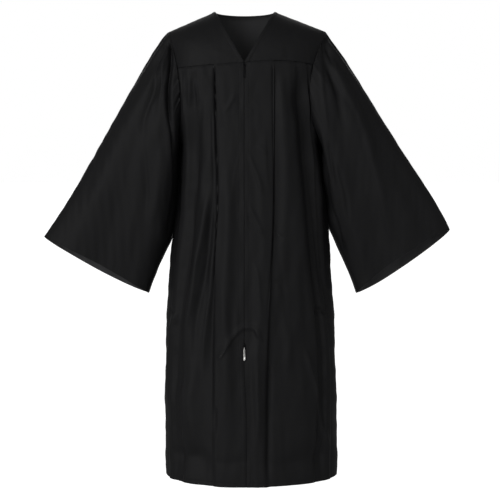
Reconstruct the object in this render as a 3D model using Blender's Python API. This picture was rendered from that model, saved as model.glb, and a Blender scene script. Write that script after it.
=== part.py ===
"""Graduation gown, filled out and hollow as it hangs from a pair of shoulders.

+X is the wearer's left, the front faces -Y and +Z is up. The origin is the middle of the neck,
level with the high shoulder points. "Drop" is a distance below the origin. Each cloth piece is a
grid of points on the outside of the cloth, worked out from the tables, and a wall of even
thickness is built inwards from it. Sewn edges lie a seam's gap apart.
"""

import math

import bpy
import numpy as np
from mathutils import Matrix

# ---- Sizes in metres
MM = 0.001
CLOTH = 1.2 * MM            # wall of a cut piece
SEAM = 0.3 * MM             # gap between two pieces that are sewn together
BULK = 0.6 * MM             # more room where the sleeve turns down over the shoulder
YOKE_EASE = 0.15 * MM       # and below the yoke seams, where the walls tilt a little

NECK_BACK = 0.075           # how far the back neck edge lies behind the shoulder line
NECK_DIP = 0.008            # how far its middle lies below the shoulder points
FRONT_SEAM_DROP = 0.1395    # the front yoke seam, and the point of the V, at the centre front
BACK_SEAM_DROP = 0.142      # the back yoke seam at the centre back
HEM_DROP = 1.254            # the gown is 1.26 m long from the shoulder
NECK_BAND = 9 * MM          # turned and topstitched edge of the V
BAND_RISE = 0.5 * MM        # how far that edge stands proud
ZIP_EDGE = 1.0 * MM         # from the centre front to each panel's edge beside the zip
SLIT_EDGE = 0.25 * MM       # and below the zip, where the two edges just meet
ZIP_END_DROP = 0.881

# Each side of the gown. x runs along X and "inset" is how far the armhole curves in at its middle.
SIDES = {
    "right": dict(sign=-1, neck_x=-0.078, tip_x=-0.200, under_x=-0.176, inset=0.018,
                  seam_drop=0.152, seam_rise=0.001, cuff_front=-0.003, cuff_back=0.018),
    "left": dict(sign=1, neck_x=0.080, tip_x=0.2160, under_x=0.201, inset=0.036,
                 seam_drop=0.1425, seam_rise=0.007, cuff_front=0.002, cuff_back=0.021),
}
TIP_DROP = 0.052           # outer end of the shoulder
UNDER_DROP = 0.352          # underarm
ARMHOLE_FRONT = 0.082       # how far the armhole reaches in front of the shoulder line
ARMHOLE_BACK = 0.088        # and behind it
ARMHOLE_CURVE = 2.2         # power with which the inset fades towards its top and bottom

# drop, depth in front of the shoulder line, depth behind it, power of the oval (2 is an ellipse)
BODY = np.array((
    (0.1395, 0.1210, 0.1120, 2.70),
    (0.242, 0.1285, 0.1240, 2.60),
    (0.352, 0.1370, 0.1330, 2.20),
    (0.492, 0.1420, 0.1390, 2.00),
    (0.692, 0.1460, 0.1450, 2.00),
    (0.892, 0.1490, 0.1490, 2.00),
    (1.092, 0.1530, 0.1530, 2.00),
    (1.254, 0.1550, 0.1560, 2.00),
))

# drop, x of the right side seam, x of the left side seam
SIDE_SEAMS = np.array((
    (0.352, -0.1760, 0.2010),
    (0.442, -0.1815, 0.2145),
    (0.512, -0.1870, 0.2225),
    (0.592, -0.1945, 0.2290),
    (0.692, -0.2045, 0.2350),
    (0.802, -0.2115, 0.2435),
    (0.922, -0.2150, 0.2475),
    (1.052, -0.2175, 0.2525),
    (1.162, -0.2172, 0.2545),
    (1.254, -0.2165, 0.2545),
))

# The sleeve's upper outline, from the shoulder to the cuff: x, drop
SLEEVE_TOPS = {
    "right": ((-0.2000, 0.052), (-0.2156, 0.0658), (-0.2331, 0.0896), (-0.2496, 0.1135),
              (-0.2732, 0.1534), (-0.3198, 0.2334), (-0.3966, 0.3675), (-0.4762, 0.5024),
              (-0.5118, 0.5566), (-0.5435, 0.6015)),
    "left": ((0.2160, 0.052), (0.2262, 0.0658), (0.2440, 0.0896), (0.2616, 0.1135),
             (0.2881, 0.1534), (0.3381, 0.2334), (0.4236, 0.3675), (0.5121, 0.5024),
             (0.5436, 0.5566), (0.5559, 0.5837)),
}
# Its lower outline, along the underarm seam from the underarm to the cuff: x, drop
SLEEVE_LOWS = {
    "right": ((-0.1760, 0.352), (-0.1795, 0.392), (-0.1800, 0.452), (-0.1855, 0.522),
              (-0.1935, 0.587), (-0.2010, 0.617), (-0.2140, 0.642), (-0.2330, 0.684),
              (-0.2480, 0.7201), (-0.2600, 0.7540)),
    "left": ((0.2010, 0.352), (0.2088, 0.392), (0.2130, 0.452), (0.2200, 0.517),
             (0.2275, 0.572), (0.2440, 0.6109), (0.2590, 0.644), (0.2745, 0.68),
             (0.2920, 0.7201), (0.3035, 0.7550)),
}
# share of the sleeve's length, how far its underarm seam swings behind the body's side seam
SLEEVE_TUCK = np.array((
    (0.00, 0.000),
    (0.05, 0.022),
    (0.10, 0.036),
    (0.20, 0.045),
    (0.50, 0.045),
    (0.65, 0.030),
    (0.82, 0.006),
    (1.00, 0.000),
))
# share of the sleeve's length, half its depth from front to back
SLEEVE_DEPTHS = np.array((
    (0.00, 0.085),
    (0.10, 0.094),
    (0.30, 0.092),
    (0.60, 0.078),
    (1.00, 0.056),
))
INSET_END = 0.45            # share of the length over which the armhole's inset fades out

# ---- Pleats: each is folded under towards the side, and opens into a soft fold below the chest.
# drop, half its width, how far it is tucked under, half its step in depth
PLEAT_SHAPE = np.array((
    (0.1395, 0.0112, 0.0070, 0.0029),
    (0.292, 0.0118, 0.0072, 0.0030),
    (0.472, 0.0140, 0.0070, 0.0036),
    (0.692, 0.0200, 0.0058, 0.0050),
    (0.892, 0.0240, 0.0045, 0.0058),
    (1.254, 0.0260, 0.0030, 0.0050),
))
PLEAT_DROPS = (0.1395, 0.292, 0.472, 0.692, 0.892, 1.254)
# Distance of each front pleat from the centre front at those drops, and its share of the width
FRONT_PLEATS = {
    "right": (
        ((0.0766, 0.0645, 0.0630, 0.0780, 0.0800, 0.0810), 1.0),
        ((0.1220, 0.1190, 0.1230, 0.1450, 0.1600, 0.1650), 0.9),
        ((0.1560, 0.1570, 0.1640, 0.1870, 0.2000, 0.2040), 0.7),
    ),
    "left": (
        ((0.0748, 0.0748, 0.0748, 0.0700, 0.0620, 0.0620), 1.0),
        ((0.1280, 0.1420, 0.1580, 0.1760, 0.1920, 0.1900), 0.9),
        ((0.1590, 0.1740, 0.1900, 0.2110, 0.2270, 0.2330), 0.7),
    ),
}
# The back's pleats on each side: distance from the centre back at the yoke, share of the way to
# the side seam at the hem, share of the width
BACK_PLEATS = (
    (0.0210, 0.129, 0.86),
    (0.0500, 0.326, 0.90),
    (0.0800, 0.522, 0.84),
    (0.1110, 0.713, 0.90),
    (0.1420, 0.866, 0.80),
)
OPENING_END = 0.442         # drop at which a pleat's two sides have left the flat of the yoke
PLACKET = 0.015             # flat edge beside the zip

# ---- Sleeve gathers and folds
GATHERS = 3                 # on each of the front and the back of a sleeve head
GATHER_HEIGHT = 0.0040
GATHER_PEAK = 0.06          # share of the length where they stand highest
GATHER_END = 0.34
# angle round from the top at the head and at the cuff, height outwards, width, first share
SLEEVE_FOLDS = {
    "right": ((35, 62, 0.0050, 0.020, 0.10), (52, 92, -0.0075, 0.026, 0.05),
              (78, 122, 0.0060, 0.024, 0.10), (100, 146, -0.0060, 0.022, 0.15)),
    "left": ((30, 58, -0.0060, 0.022, 0.06), (50, 88, 0.0075, 0.024, 0.08),
             (74, 116, -0.0060, 0.024, 0.10), (98, 142, 0.0050, 0.022, 0.15)),
}

# ---- How finely each piece is divided
YOKE_STEPS = 4
ARMHOLE_STEPS = 6
ROW_DROPS = (0.412, 0.492, 0.582, 0.682, 0.792, 0.892, 0.942, 1.042, 1.152, 1.254)
ARC_SAMPLES = 97
FRONT_TURNS = np.array((-1.0, -0.56, -0.34, -0.12, 0.12, 0.34, 0.56, 1.0))
BACK_TURNS = np.array((-1.0, -0.42, -0.15, 0.15, 0.42, 1.0))
FRONT_STRETCHES = (3, 3, 2, 2)  # columns before each pleat and after the last
BACK_STRETCHES = (1, 1, 1, 1, 1, 2)
SLEEVE_ROWS = (0.0, 0.03, 0.07, 0.12, 0.19, 0.28, 0.38, 0.50, 0.62, 0.75, 0.88, 1.0)
HEAD_SUBSTEPS = 3
UNDER_SUBSTEPS = 2

# ---- Zip
TAPE_WIDTH = 0.014
TAPE_THICK = 0.8 * MM
TAPE_CENTRE_GAP = 0.2 * MM  # from the centre front to the edge of each tape
CHAIN_WIDTH = 2.0 * MM
CHAIN_THICK = 1.7 * MM
TAPE_TOP_DROP = 0.145
SLIDER_LENGTH = 0.0125
SLIDER_WIDE = 0.0085
SLIDER_NARROW = 0.0060
PLATE_THICK = 1.2 * MM
POST_WIDTH = 1.4 * MM
POST_LENGTH = 1.5 * MM
LUG_GAP = 3.2 * MM
LUG_THICK = 0.8 * MM
LUG_LENGTH = 2.6 * MM
PIN_RADIUS = 0.55 * MM
PIN_HEIGHT = 3.7 * MM       # pull tab's axis, outwards from the cloth
EYE_OUTER = 1.8 * MM
EYE_INNER = 0.95 * MM
EYE_WIDTH = 2.2 * MM
PULL_LENGTH = 0.0340
PULL_WIDTH = 0.0050
PULL_THICK = 1.4 * MM
PULL_NECK = 3.6 * MM        # narrow stretch between the eye and the tab
# name, drop of the slider's upper end, which end of it is the wide one, drop of the pull's axis
SLIDERS = (
    ("upper", 0.142, "top", 0.1465),
    ("lower", 0.871, "bottom", 0.882),
)

COLOURS = {  # base colour, roughness, metallic
    "black cloth": ((0.012, 0.012, 0.013, 1), 0.62, 0.0),
    "black tape": ((0.010, 0.010, 0.011, 1), 0.80, 0.0),
    "black metal": ((0.020, 0.020, 0.022, 1), 0.38, 0.9),
    "bright metal": ((0.640, 0.640, 0.650, 1), 0.25, 1.0),
}


# ---- Small helpers
def clear_scene():
    for thing in list(bpy.data.objects):
        bpy.data.objects.remove(thing, do_unlink=True)


def ease(share):
    """0 below 0, 1 above 1, and a smooth step between."""
    share = np.clip(share, 0.0, 1.0)
    return share * share * (3.0 - 2.0 * share)


def through(keys, values, at):
    """Smooth curve through a table's rows: cubic pieces that share the slope at each row."""
    keys = np.asarray(keys, dtype=float)
    values = np.asarray(values, dtype=float)
    slopes = np.gradient(values, keys, axis=0)
    at = np.clip(np.asarray(at, dtype=float), keys[0], keys[-1])
    left = np.clip(np.searchsorted(keys, at, side="right") - 1, 0, len(keys) - 2)
    step = keys[left + 1] - keys[left]
    t = (at - keys[left]) / step
    if values.ndim > 1:
        step = step[..., None]
        t = t[..., None]
    return (
        (2 * t**3 - 3 * t**2 + 1) * values[left]
        + (t**3 - 2 * t**2 + t) * step * slopes[left]
        + (3 * t**2 - 2 * t**3) * values[left + 1]
        + (t**3 - t**2) * step * slopes[left + 1]
    )


def along(points, shares):
    """Points at the given shares of the length of a smooth line through a few points."""
    points = np.asarray(points, dtype=float)
    lengths = np.concatenate(((0.0,), np.cumsum(np.linalg.norm(np.diff(points, axis=0), axis=1))))
    return through(lengths / lengths[-1], points, np.asarray(shares, dtype=float))


def unit(vectors):
    return vectors / np.linalg.norm(vectors, axis=-1, keepdims=True)


def grid_normals(grid, middle, around):
    """Normal at each point of a grid, pointing away from the line of points in the middle."""
    if around:
        across = np.roll(grid, -1, axis=1) - np.roll(grid, 1, axis=1)
    else:
        across = np.gradient(grid, axis=1)
    down = np.gradient(grid, axis=0)
    normals = unit(np.cross(down, across))
    if np.sum(normals * (grid - middle)) < 0:
        normals = -normals
    return normals


def pull_back(grid, gap, side):
    """Move one edge of a grid a gap inwards, along the piece."""
    moved = grid.copy()
    if side == "top":
        moved[0] += gap * unit(grid[1] - grid[0])
    if side == "start":
        moved[:, 0] += gap * unit(grid[:, 1] - grid[:, 0])
    if side == "end":
        moved[:, -1] += gap * unit(grid[:, -2] - grid[:, -1])
    return moved


def material(finish):
    """The plain finish of that name, made the first time that it is asked for."""
    if finish in bpy.data.materials:
        return bpy.data.materials[finish]
    colour, roughness, metallic = COLOURS[finish]
    made = bpy.data.materials.new(finish)
    made.use_nodes = True
    shader = made.node_tree.nodes["Principled BSDF"]
    shader.inputs["Base Color"].default_value = colour
    shader.inputs["Roughness"].default_value = roughness
    shader.inputs["Metallic"].default_value = metallic
    return made


def add_object(name, points, faces, finish):
    mesh = bpy.data.meshes.new(name)
    mesh.from_pydata([tuple(point) for point in points], [], faces)
    mesh.materials.append(material(finish).copy())
    mesh.materials[0].name = name + " " + finish
    mesh.shade_smooth()
    mesh.set_sharp_from_angle(angle=math.radians(50))
    made = bpy.data.objects.new(name, mesh)
    bpy.context.scene.collection.objects.link(made)
    return made


def wall(name, grid, middle, outside=0.0, inside=CLOTH, around=False, square=(),
         finish="black cloth"):
    """A closed wall round a grid of points: one face moved outwards, the other inwards.

    outside and inside are distances along the grid's normals, plain or one for each point.
    square lists the edges that end in the plane Y = 0, where two pieces meet face to face.
    Both faces are divided along the same diagonals, so the wall keeps its thickness, and the
    narrow faces round its edges along their shorter ones.
    """
    rows, columns = grid.shape[:2]
    normals = grid_normals(grid, middle, around)
    for edge in square:
        normals[edge + (1,)] = 0.0
    normals = unit(normals)
    outside = np.broadcast_to(np.asarray(outside, dtype=float), (rows, columns))
    inside = np.broadcast_to(np.asarray(inside, dtype=float), (rows, columns))
    outer = grid + normals * outside[..., None]
    inner = grid - normals * inside[..., None]
    points = np.concatenate((outer.reshape(-1, 3), inner.reshape(-1, 3)))
    count = rows * columns
    index = np.arange(count).reshape(rows, columns)
    if around:
        index = np.concatenate((index, index[:, :1]), axis=1)
    a = index[:-1, :-1].ravel()
    b = index[1:, :-1].ravel()
    c = index[1:, 1:].ravel()
    d = index[:-1, 1:].ravel()
    first = np.cross(points[b] - points[a], points[c] - points[a])
    facing = np.sum(first * normals.reshape(-1, 3)[a]) > 0
    if not facing:
        b, d = d, b
    faces = np.concatenate((np.stack((a, b, c), 1), np.stack((a, c, d), 1)))
    backs = faces[:, ::-1] + count
    rims = [index[0], index[-1]]
    if not around:
        rims += [index[:, 0], index[:, -1]]
    sides = []
    used = {(int(u), int(v)) for face in faces for u, v in zip(face, np.roll(face, -1))}
    for rim in rims:
        for u, v in zip(rim[:-1], rim[1:]):
            u, v = int(u), int(v)
            if (u, v) not in used:
                u, v = v, u
            if np.linalg.norm(points[u] - points[v + count]) < np.linalg.norm(points[v] - points[u + count]):
                sides += [(v, u, v + count), (u, u + count, v + count)]
            else:
                sides += [(v, u, u + count), (v, u + count, v + count)]
    return add_object(name, points, faces.tolist() + backs.tolist() + sides, finish)


# ---- The gown's own lines
def armhole(side, angle, face):
    """Point of the armhole at an angle from its top; face is -1 in front and 1 behind."""
    sizes = SIDES[side]
    middle_x = (sizes["tip_x"] + sizes["under_x"]) / 2
    reach_x = (sizes["tip_x"] - sizes["under_x"]) / 2
    half = (UNDER_DROP - TIP_DROP) / 2
    swell = np.sin(angle)
    depth = ARMHOLE_FRONT if face < 0 else ARMHOLE_BACK
    x = middle_x + reach_x * np.cos(angle) - sizes["sign"] * sizes["inset"] * swell**ARMHOLE_CURVE
    z = -(UNDER_DROP + TIP_DROP) / 2 + half * np.cos(angle)
    return np.stack((x, face * depth * swell, z), axis=-1)


def corner_angle(side):
    """Angle round the armhole at which the yoke seam meets it."""
    half = (UNDER_DROP - TIP_DROP) / 2
    return math.acos(((UNDER_DROP + TIP_DROP) / 2 - SIDES[side]["seam_drop"]) / half)


def yoke_angles(side):
    return np.linspace(0.0, corner_angle(side), YOKE_STEPS + 1)


def panel_angles(side):
    return np.linspace(corner_angle(side), math.pi, ARMHOLE_STEPS + 1)


def depth_at(drop, face):
    return through(BODY[:, 0], BODY[:, 1 if face < 0 else 2], drop)


def side_seam(side, drop):
    return through(SIDE_SEAMS[:, 0], SIDE_SEAMS[:, 1 if side == "right" else 2], drop)


def body_rows(side, face):
    """Outer edge of each row of a body panel and the drop of its middle, from yoke to hem."""
    top = FRONT_SEAM_DROP if face < 0 else BACK_SEAM_DROP
    edges = armhole(side, panel_angles(side), face)
    edges[-1, 1] = 0.0
    share = (-edges[:, 2] - SIDES[side]["seam_drop"]) / (UNDER_DROP - SIDES[side]["seam_drop"])
    drops = top + share * (UNDER_DROP - top)
    below = np.array(ROW_DROPS)
    side_edges = np.stack((side_seam(side, below), np.zeros(len(below)), -below), axis=-1)
    return np.concatenate((edges, side_edges)), np.concatenate((drops, below))


def body_arc(side, face, edge, drop, centre_gap):
    """One level of the body: an arc of an oval from the centre line to the outer edge.

    The oval is x = span * sin(angle) ** (2 / power), y = depth * cos(angle) ** (2 / power).
    Gives fine points along it, their distances from the centre and their outward directions.
    """
    sizes = SIDES[side]
    depth = float(depth_at(drop, face))
    power = max(float(through(BODY[:, 0], BODY[:, 3], drop)), 2.0)
    turn = math.acos(min(abs(edge[1]) / depth, 1.0) ** (power / 2))
    angle = np.linspace(0.0, turn, ARC_SAMPLES)
    start = sizes["sign"] * centre_gap
    span = (edge[0] - start) / math.sin(turn) ** (2 / power)
    across = np.sin(angle) ** (2 / power)
    ahead = np.maximum(np.cos(angle), 0.0) ** (2 / power)
    x = start + span * across
    y = face * depth * ahead
    share = across / across[-1]
    z = -drop + (edge[2] + drop) * share
    if face < 0:
        fade = 1.0 - ease((drop - FRONT_SEAM_DROP) / (UNDER_DROP - FRONT_SEAM_DROP))
        z = z + sizes["seam_rise"] * 4 * share * (1 - share) * fade
    points = np.stack((x, y, z), axis=-1)
    steps = np.linalg.norm(np.diff(points[:, :2], axis=0), axis=1)
    distance = np.concatenate(((0.0,), np.cumsum(steps)))
    outward = np.stack((sizes["sign"] * across ** (power - 1) / abs(span),
                        face * ahead ** (power - 1) / depth,
                        np.zeros(ARC_SAMPLES)), axis=-1)
    return points, distance, unit(outward)


def on_arc(arc, distance, height):
    """Points at distances along a level of the body, moved outwards by their heights."""
    points, lengths, outward = arc
    place = np.stack([np.interp(distance, lengths, points[:, k]) for k in range(3)], axis=-1)
    facing = np.stack([np.interp(distance, lengths, outward[:, k]) for k in range(3)], axis=-1)
    return place + unit(facing) * np.asarray(height)[..., None]


def pleated_line(length, drop, places, shares, stretches, turns, flat_start):
    """Distances and heights of one level of a pleated panel, from its centre to its edge.

    A pleat runs over turns from -1 to 1. Distance = place + half width * turn
    - tuck * sin(pi * turn), which doubles back where the tuck is deep. Height = -step * sin(pi
    * turn) over the middle half and level beyond, so the side nearer the centre lies on top.
    """
    half, tuck, step = through(PLEAT_SHAPE[:, 0], PLEAT_SHAPE[:, 1:], np.array([drop]))[0]
    opened = float(ease((drop - FRONT_SEAM_DROP) / (OPENING_END - FRONT_SEAM_DROP)))
    distances = [[0.0]]
    heights = [[0.0]]
    last_distance = flat_start
    last_height = 0.0
    for number, (place, share) in enumerate(zip(places, shares)):
        own_step = step * (1.0 + (share - 1.0) * float(ease((drop - OPENING_END) / OPENING_END)))
        level = -own_step * (1.0 - opened)
        width = half * share
        flat = np.linspace(0.0, 1.0, stretches[number] + 1)[:-1]
        distances.append(last_distance + (place - width - last_distance) * flat)
        heights.append(last_height + (level + own_step - last_height) * ease(flat))
        distances.append(place + (width * turns - tuck * share * np.sin(math.pi * turns))[:-1])
        heights.append(level - own_step * np.sin(math.pi * np.clip(turns[:-1], -0.5, 0.5)))
        last_distance = place + width
        last_height = level - own_step
    flat = np.linspace(0.0, 1.0, stretches[-1] + 1)
    distances.append(last_distance + (length - last_distance) * flat)
    heights.append(last_height * (1.0 - ease(flat)))
    return np.concatenate(distances), np.concatenate(heights)


def centre_gap_at(drop):
    """Half the gap between the two fronts: room for the zip, then nearly none below it."""
    return ZIP_EDGE + (SLIT_EDGE - ZIP_EDGE) * float(ease((drop - ZIP_END_DROP - 0.012) / 0.045))


def front_grid(side):
    edges, drops = body_rows(side, -1)
    rows = []
    shares = [share for _, share in FRONT_PLEATS[side]]
    for edge, drop in zip(edges, drops):
        arc = body_arc(side, -1, edge, drop, centre_gap_at(drop))
        points, lengths, _ = arc
        across = [abs(through(PLEAT_DROPS, xs, np.array([drop]))[0]) for xs, _ in FRONT_PLEATS[side]]
        places = np.interp(across, abs(points[:, 0]), lengths)
        distance, height = pleated_line(lengths[-1], drop, places, shares, FRONT_STRETCHES,
                                        FRONT_TURNS, PLACKET)
        rows.append(on_arc(arc, distance, height - CLOTH / 2))
    return np.array(rows)


def back_half(side):
    edges, drops = body_rows(side, 1)
    rows = []
    shares = [share for _, _, share in BACK_PLEATS]
    hem_reach = abs(edges[-1, 0])
    for edge, drop in zip(edges, drops):
        arc = body_arc(side, 1, edge, drop, 0.0)
        points, lengths, _ = arc
        spread = float(ease((drop - BACK_SEAM_DROP) / (HEM_DROP - BACK_SEAM_DROP)))
        across = [top + (hem * hem_reach - top) * spread for top, hem, _ in BACK_PLEATS]
        places = np.interp(across, abs(points[:, 0]), lengths)
        distance, height = pleated_line(lengths[-1], drop, places, shares, BACK_STRETCHES,
                                        BACK_TURNS, 0.2 * places[0])
        rows.append(on_arc(arc, distance, height - CLOTH / 2))
    return np.array(rows)


# ---- Cloth pieces
def make_yoke_front(side):
    """From the V edge to the armhole, and from the shoulder line down to the yoke seam."""
    sizes = SIDES[side]
    angles = yoke_angles(side)
    share = angles / angles[-1]
    lean = (1.0 - np.cos(share * math.pi / 2))[:, None]
    swing = np.sin(share * math.pi / 2)[:, None]
    band = NECK_BAND / 0.150
    across = np.array((0.0, band, band + 0.004, 0.18, 0.32, 0.46, 0.60, 0.74, 0.87, 1.0))
    edges, drops = body_rows(side, -1)
    arc = body_arc(side, -1, edges[0], drops[0], ZIP_EDGE)
    seam = on_arc(arc, across * arc[1][-1], np.zeros(len(across)))
    shoulder_x = sizes["neck_x"] + (sizes["tip_x"] - sizes["neck_x"]) * across
    shoulder_z = -TIP_DROP * across
    x = shoulder_x + (seam[:, 0] - shoulder_x) * lean
    y = seam[:, 1] * swing
    z = shoulder_z + (seam[:, 2] - shoulder_z) * lean
    grid = np.stack((x, y, z), axis=-1)
    own = armhole(side, angles, -1)
    grid += (own - grid[:, -1])[:, None] * (across**3)[None, :, None]
    raised = np.where(across <= band, BAND_RISE, 0.0)
    return wall("yoke_front_" + side, grid, np.array((0.0, 0.0, -0.2)), outside=raised[None],
                square=[(0, slice(None))])


def make_yoke_back():
    """One piece over both shoulder blades, with the curved back neck edge in its middle."""
    halves = []
    for side in ("right", "left"):
        sizes = SIDES[side]
        angles = yoke_angles(side)
        share = angles / angles[-1]
        lean = (1.0 - np.cos(share * math.pi / 2))[:, None]
        swing = np.sin(share * math.pi / 2)[:, None]
        neck_share = 0.42
        across = np.array((0.0, 0.10, 0.20, 0.30, 0.37, neck_share, 0.52, 0.64, 0.76, 0.88, 1.0))
        edges, drops = body_rows(side, 1)
        arc = body_arc(side, 1, edges[0], drops[0], 0.0)
        seam = on_arc(arc, across * arc[1][-1], np.zeros(len(across)))
        turn = np.clip(across / neck_share, 0.0, 1.0) * math.pi / 2
        out = np.clip((across - neck_share) / (1.0 - neck_share), 0.0, 1.0)
        top_x = sizes["neck_x"] * np.sin(turn) + (sizes["tip_x"] - sizes["neck_x"]) * out
        top_y = NECK_BACK * np.cos(turn)
        top_z = -NECK_DIP * np.cos(turn) - TIP_DROP * out
        x = top_x + (seam[:, 0] - top_x) * swing
        y = top_y + (seam[:, 1] - top_y) * swing
        z = top_z + (seam[:, 2] - top_z) * lean
        grid = np.stack((x, y, z), axis=-1)
        own = armhole(side, angles, 1)
        grid += (own - grid[:, -1])[:, None] * (across**3)[None, :, None]
        grid[0, across >= neck_share, 1] += SEAM
        halves.append(grid)
    grid = np.concatenate((halves[0][:, :0:-1], halves[1]), axis=1)
    on_shoulder = grid[0, :, 1] < 2 * SEAM
    return wall("yoke_back", grid, np.array((0.0, 0.0, -0.2)), square=[(0, on_shoulder)])


def make_front(side):
    grid = pull_back(front_grid(side), SEAM + YOKE_EASE, "top")
    middle = np.stack((0 * grid[..., 0], 0 * grid[..., 1], grid[..., 2]), axis=-1)
    return wall("front_" + side, grid, middle, outside=CLOTH / 2, inside=CLOTH / 2,
                square=[(slice(ARMHOLE_STEPS, None), -1)])


def make_back():
    grid = np.concatenate((back_half("right")[:, :0:-1], back_half("left")), axis=1)
    grid = pull_back(grid, SEAM + YOKE_EASE, "top")
    grid = pull_back(pull_back(grid, SEAM, "start"), SEAM, "end")
    middle = np.stack((0 * grid[..., 0], 0 * grid[..., 1], grid[..., 2]), axis=-1)
    below = slice(ARMHOLE_STEPS, None)
    return wall("back", grid, middle, outside=CLOTH / 2, inside=CLOTH / 2,
                square=[(below, 0), (below, -1)])


def sleeve_angles(side):
    """Signed angles round the sleeve from the underarm, over the front, top and back.

    They hold every row of the yokes and panels, so the seam has the same corners on both sides.
    """
    head = yoke_angles(side)
    under = panel_angles(side)
    fine_head = np.interp(np.arange(YOKE_STEPS * HEAD_SUBSTEPS + 1) / HEAD_SUBSTEPS,
                          np.arange(YOKE_STEPS + 1), head)
    fine_under = np.interp(np.arange(ARMHOLE_STEPS * UNDER_SUBSTEPS + 1) / UNDER_SUBSTEPS,
                           np.arange(ARMHOLE_STEPS + 1), under)
    half = np.concatenate((fine_head, fine_under[1:]))
    return np.concatenate((-half[::-1], half[1:-1]))


def sleeve_head(side, angles):
    """The armhole as straight lines between the rows of the yokes and panels."""
    knots = np.concatenate((yoke_angles(side), panel_angles(side)[1:]))
    points = np.zeros((len(angles), 3))
    for face in (-1, 1):
        corners = armhole(side, knots, face)
        mine = np.sign(angles) == face
        if face > 0:
            mine = mine | (angles == 0)
        for axis in range(3):
            points[mine, axis] = np.interp(abs(angles[mine]), knots, corners[:, axis])
    return points


def sleeve_grid(side):
    """Sections of the sleeve: ovals between its upper and lower outlines, with their folds."""
    sizes = SIDES[side]
    angles = sleeve_angles(side)
    swell = abs(np.sin(angles))
    face = np.sign(angles)
    shares = np.array(SLEEVE_ROWS)
    tops = along(SLEEVE_TOPS[side], shares)
    lows = along(SLEEVE_LOWS[side], shares)
    depth = through(SLEEVE_DEPTHS[:, 0], SLEEVE_DEPTHS[:, 1], shares)
    inset = sizes["inset"] * (1.0 - ease(shares / INSET_END))
    middle = (tops + lows) / 2
    reach = (tops - lows) / 2
    flat = middle[:, None] + reach[:, None] * np.cos(angles)[None, :, None]
    x = flat[..., 0] - sizes["sign"] * inset[:, None] * swell**ARMHOLE_CURVE
    tuck = through(SLEEVE_TUCK[:, 0], SLEEVE_TUCK[:, 1], shares)
    y = depth[:, None] * np.sin(angles) + tuck[:, None] * ((1.0 - np.cos(angles)) / 2) ** 3
    z = -flat[..., 1]
    skew = np.where(face < 0, sizes["cuff_front"], -sizes["cuff_back"]) * swell
    z = z + skew * ease((shares - 0.55) / 0.45)[:, None]
    grid = np.stack((x, y, z), axis=-1)
    gap = SEAM + 0.1 * MM + BULK * np.clip(np.cos(angles), 0.0, 1.0) ** 2
    grid[0] = sleeve_head(side, angles)
    grid[0, :, 0] += sizes["sign"] * gap
    centres = np.stack((middle[:, 0], 0 * shares, -middle[:, 1]), axis=-1)[:, None]
    return grid + grid_normals(grid, centres, True) * sleeve_folds(side, angles, shares, grid)[..., None]


def sleeve_folds(side, angles, shares, grid):
    """Heights of the gathers at the head and of the long folds that fan out to the cuff."""
    rise = ease(shares / GATHER_PEAK) * (1.0 - ease((shares - GATHER_PEAK) / (GATHER_END - GATHER_PEAK)))
    turn = abs(angles) / corner_angle(side)
    waves = np.where(turn < 1.0, np.sin(math.pi * GATHERS * turn) ** 2, 0.0)
    heights = -GATHER_HEIGHT * rise[:, None] * waves[None]
    steps = np.linalg.norm(np.roll(grid, -1, axis=1) - grid, axis=2)
    girth = np.sum(steps, axis=1)
    for head, cuff, height, width, first in SLEEVE_FOLDS[side]:
        for face in (-1, 1):
            line = np.radians(head + (cuff - head) * shares)
            away = (abs(angles)[None] - line[:, None]) / (2 * math.pi) * girth[:, None]
            bell = np.exp(-(away / width) ** 2) * (np.sign(angles) == face)[None]
            grow = ease((shares - first) / 0.25)
            heights = heights + height * (grow[:, None]) * bell
    return heights


def make_sleeve(side):
    grid = sleeve_grid(side)
    centres = np.mean(grid, axis=1, keepdims=True)
    return wall("sleeve_" + side, grid, centres, around=True)


# ---- Zip
def make_tape(side):
    """One half of the zip behind its front panel: a flat tape with the chain along its edge."""
    edges, drops = body_rows(side, -1)
    below_seam = (TAPE_TOP_DROP - drops[0]) / (drops[1] - drops[0])
    levels = [(edges[0] + (edges[1] - edges[0]) * below_seam, TAPE_TOP_DROP)]
    levels += [(edge, drop) for edge, drop in zip(edges[1:], drops[1:]) if drop < ZIP_END_DROP]
    levels.append((np.array((side_seam(side, ZIP_END_DROP), 0.0, -ZIP_END_DROP)), ZIP_END_DROP))
    across = np.array((0.0, CHAIN_WIDTH, CHAIN_WIDTH + 0.1 * MM, 0.55 * TAPE_WIDTH, TAPE_WIDTH))
    rows = []
    for edge, drop in levels:
        arc = body_arc(side, -1, edge, drop, TAPE_CENTRE_GAP)
        rows.append(on_arc(arc, across, np.full(len(across), -CLOTH - SEAM)))
    grid = np.array(rows)
    middle = np.stack((0 * grid[..., 0], 0 * grid[..., 1], grid[..., 2]), axis=-1)
    thick = np.where(across <= CHAIN_WIDTH, CHAIN_THICK, TAPE_THICK)
    return wall("zip_tape_" + side, grid, middle, inside=thick[None], finish="black tape")


def prism(name, outline, low, high, axis):
    """A solid of constant section: outline in the other two axes, from low to high along axis."""
    others = [k for k in range(3) if k != axis]
    count = len(outline)
    points = np.zeros((2 * count, 3))
    points[:count, others] = outline
    points[count:, others] = outline
    points[:count, axis] = low
    points[count:, axis] = high
    faces = [tuple(range(count)), tuple(range(2 * count - 1, count - 1, -1))]
    for k in range(count):
        after = (k + 1) % count
        faces.append((after, k, k + count, after + count))
    made = add_object(name, points, faces, "black metal")
    first = points[:count][:, others]
    area = np.sum(first[:, 0] * np.roll(first[:, 1], -1) - np.roll(first[:, 0], -1) * first[:, 1])
    if (area > 0) != (axis == 1):
        made.data.flip_normals()
    return made


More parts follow.
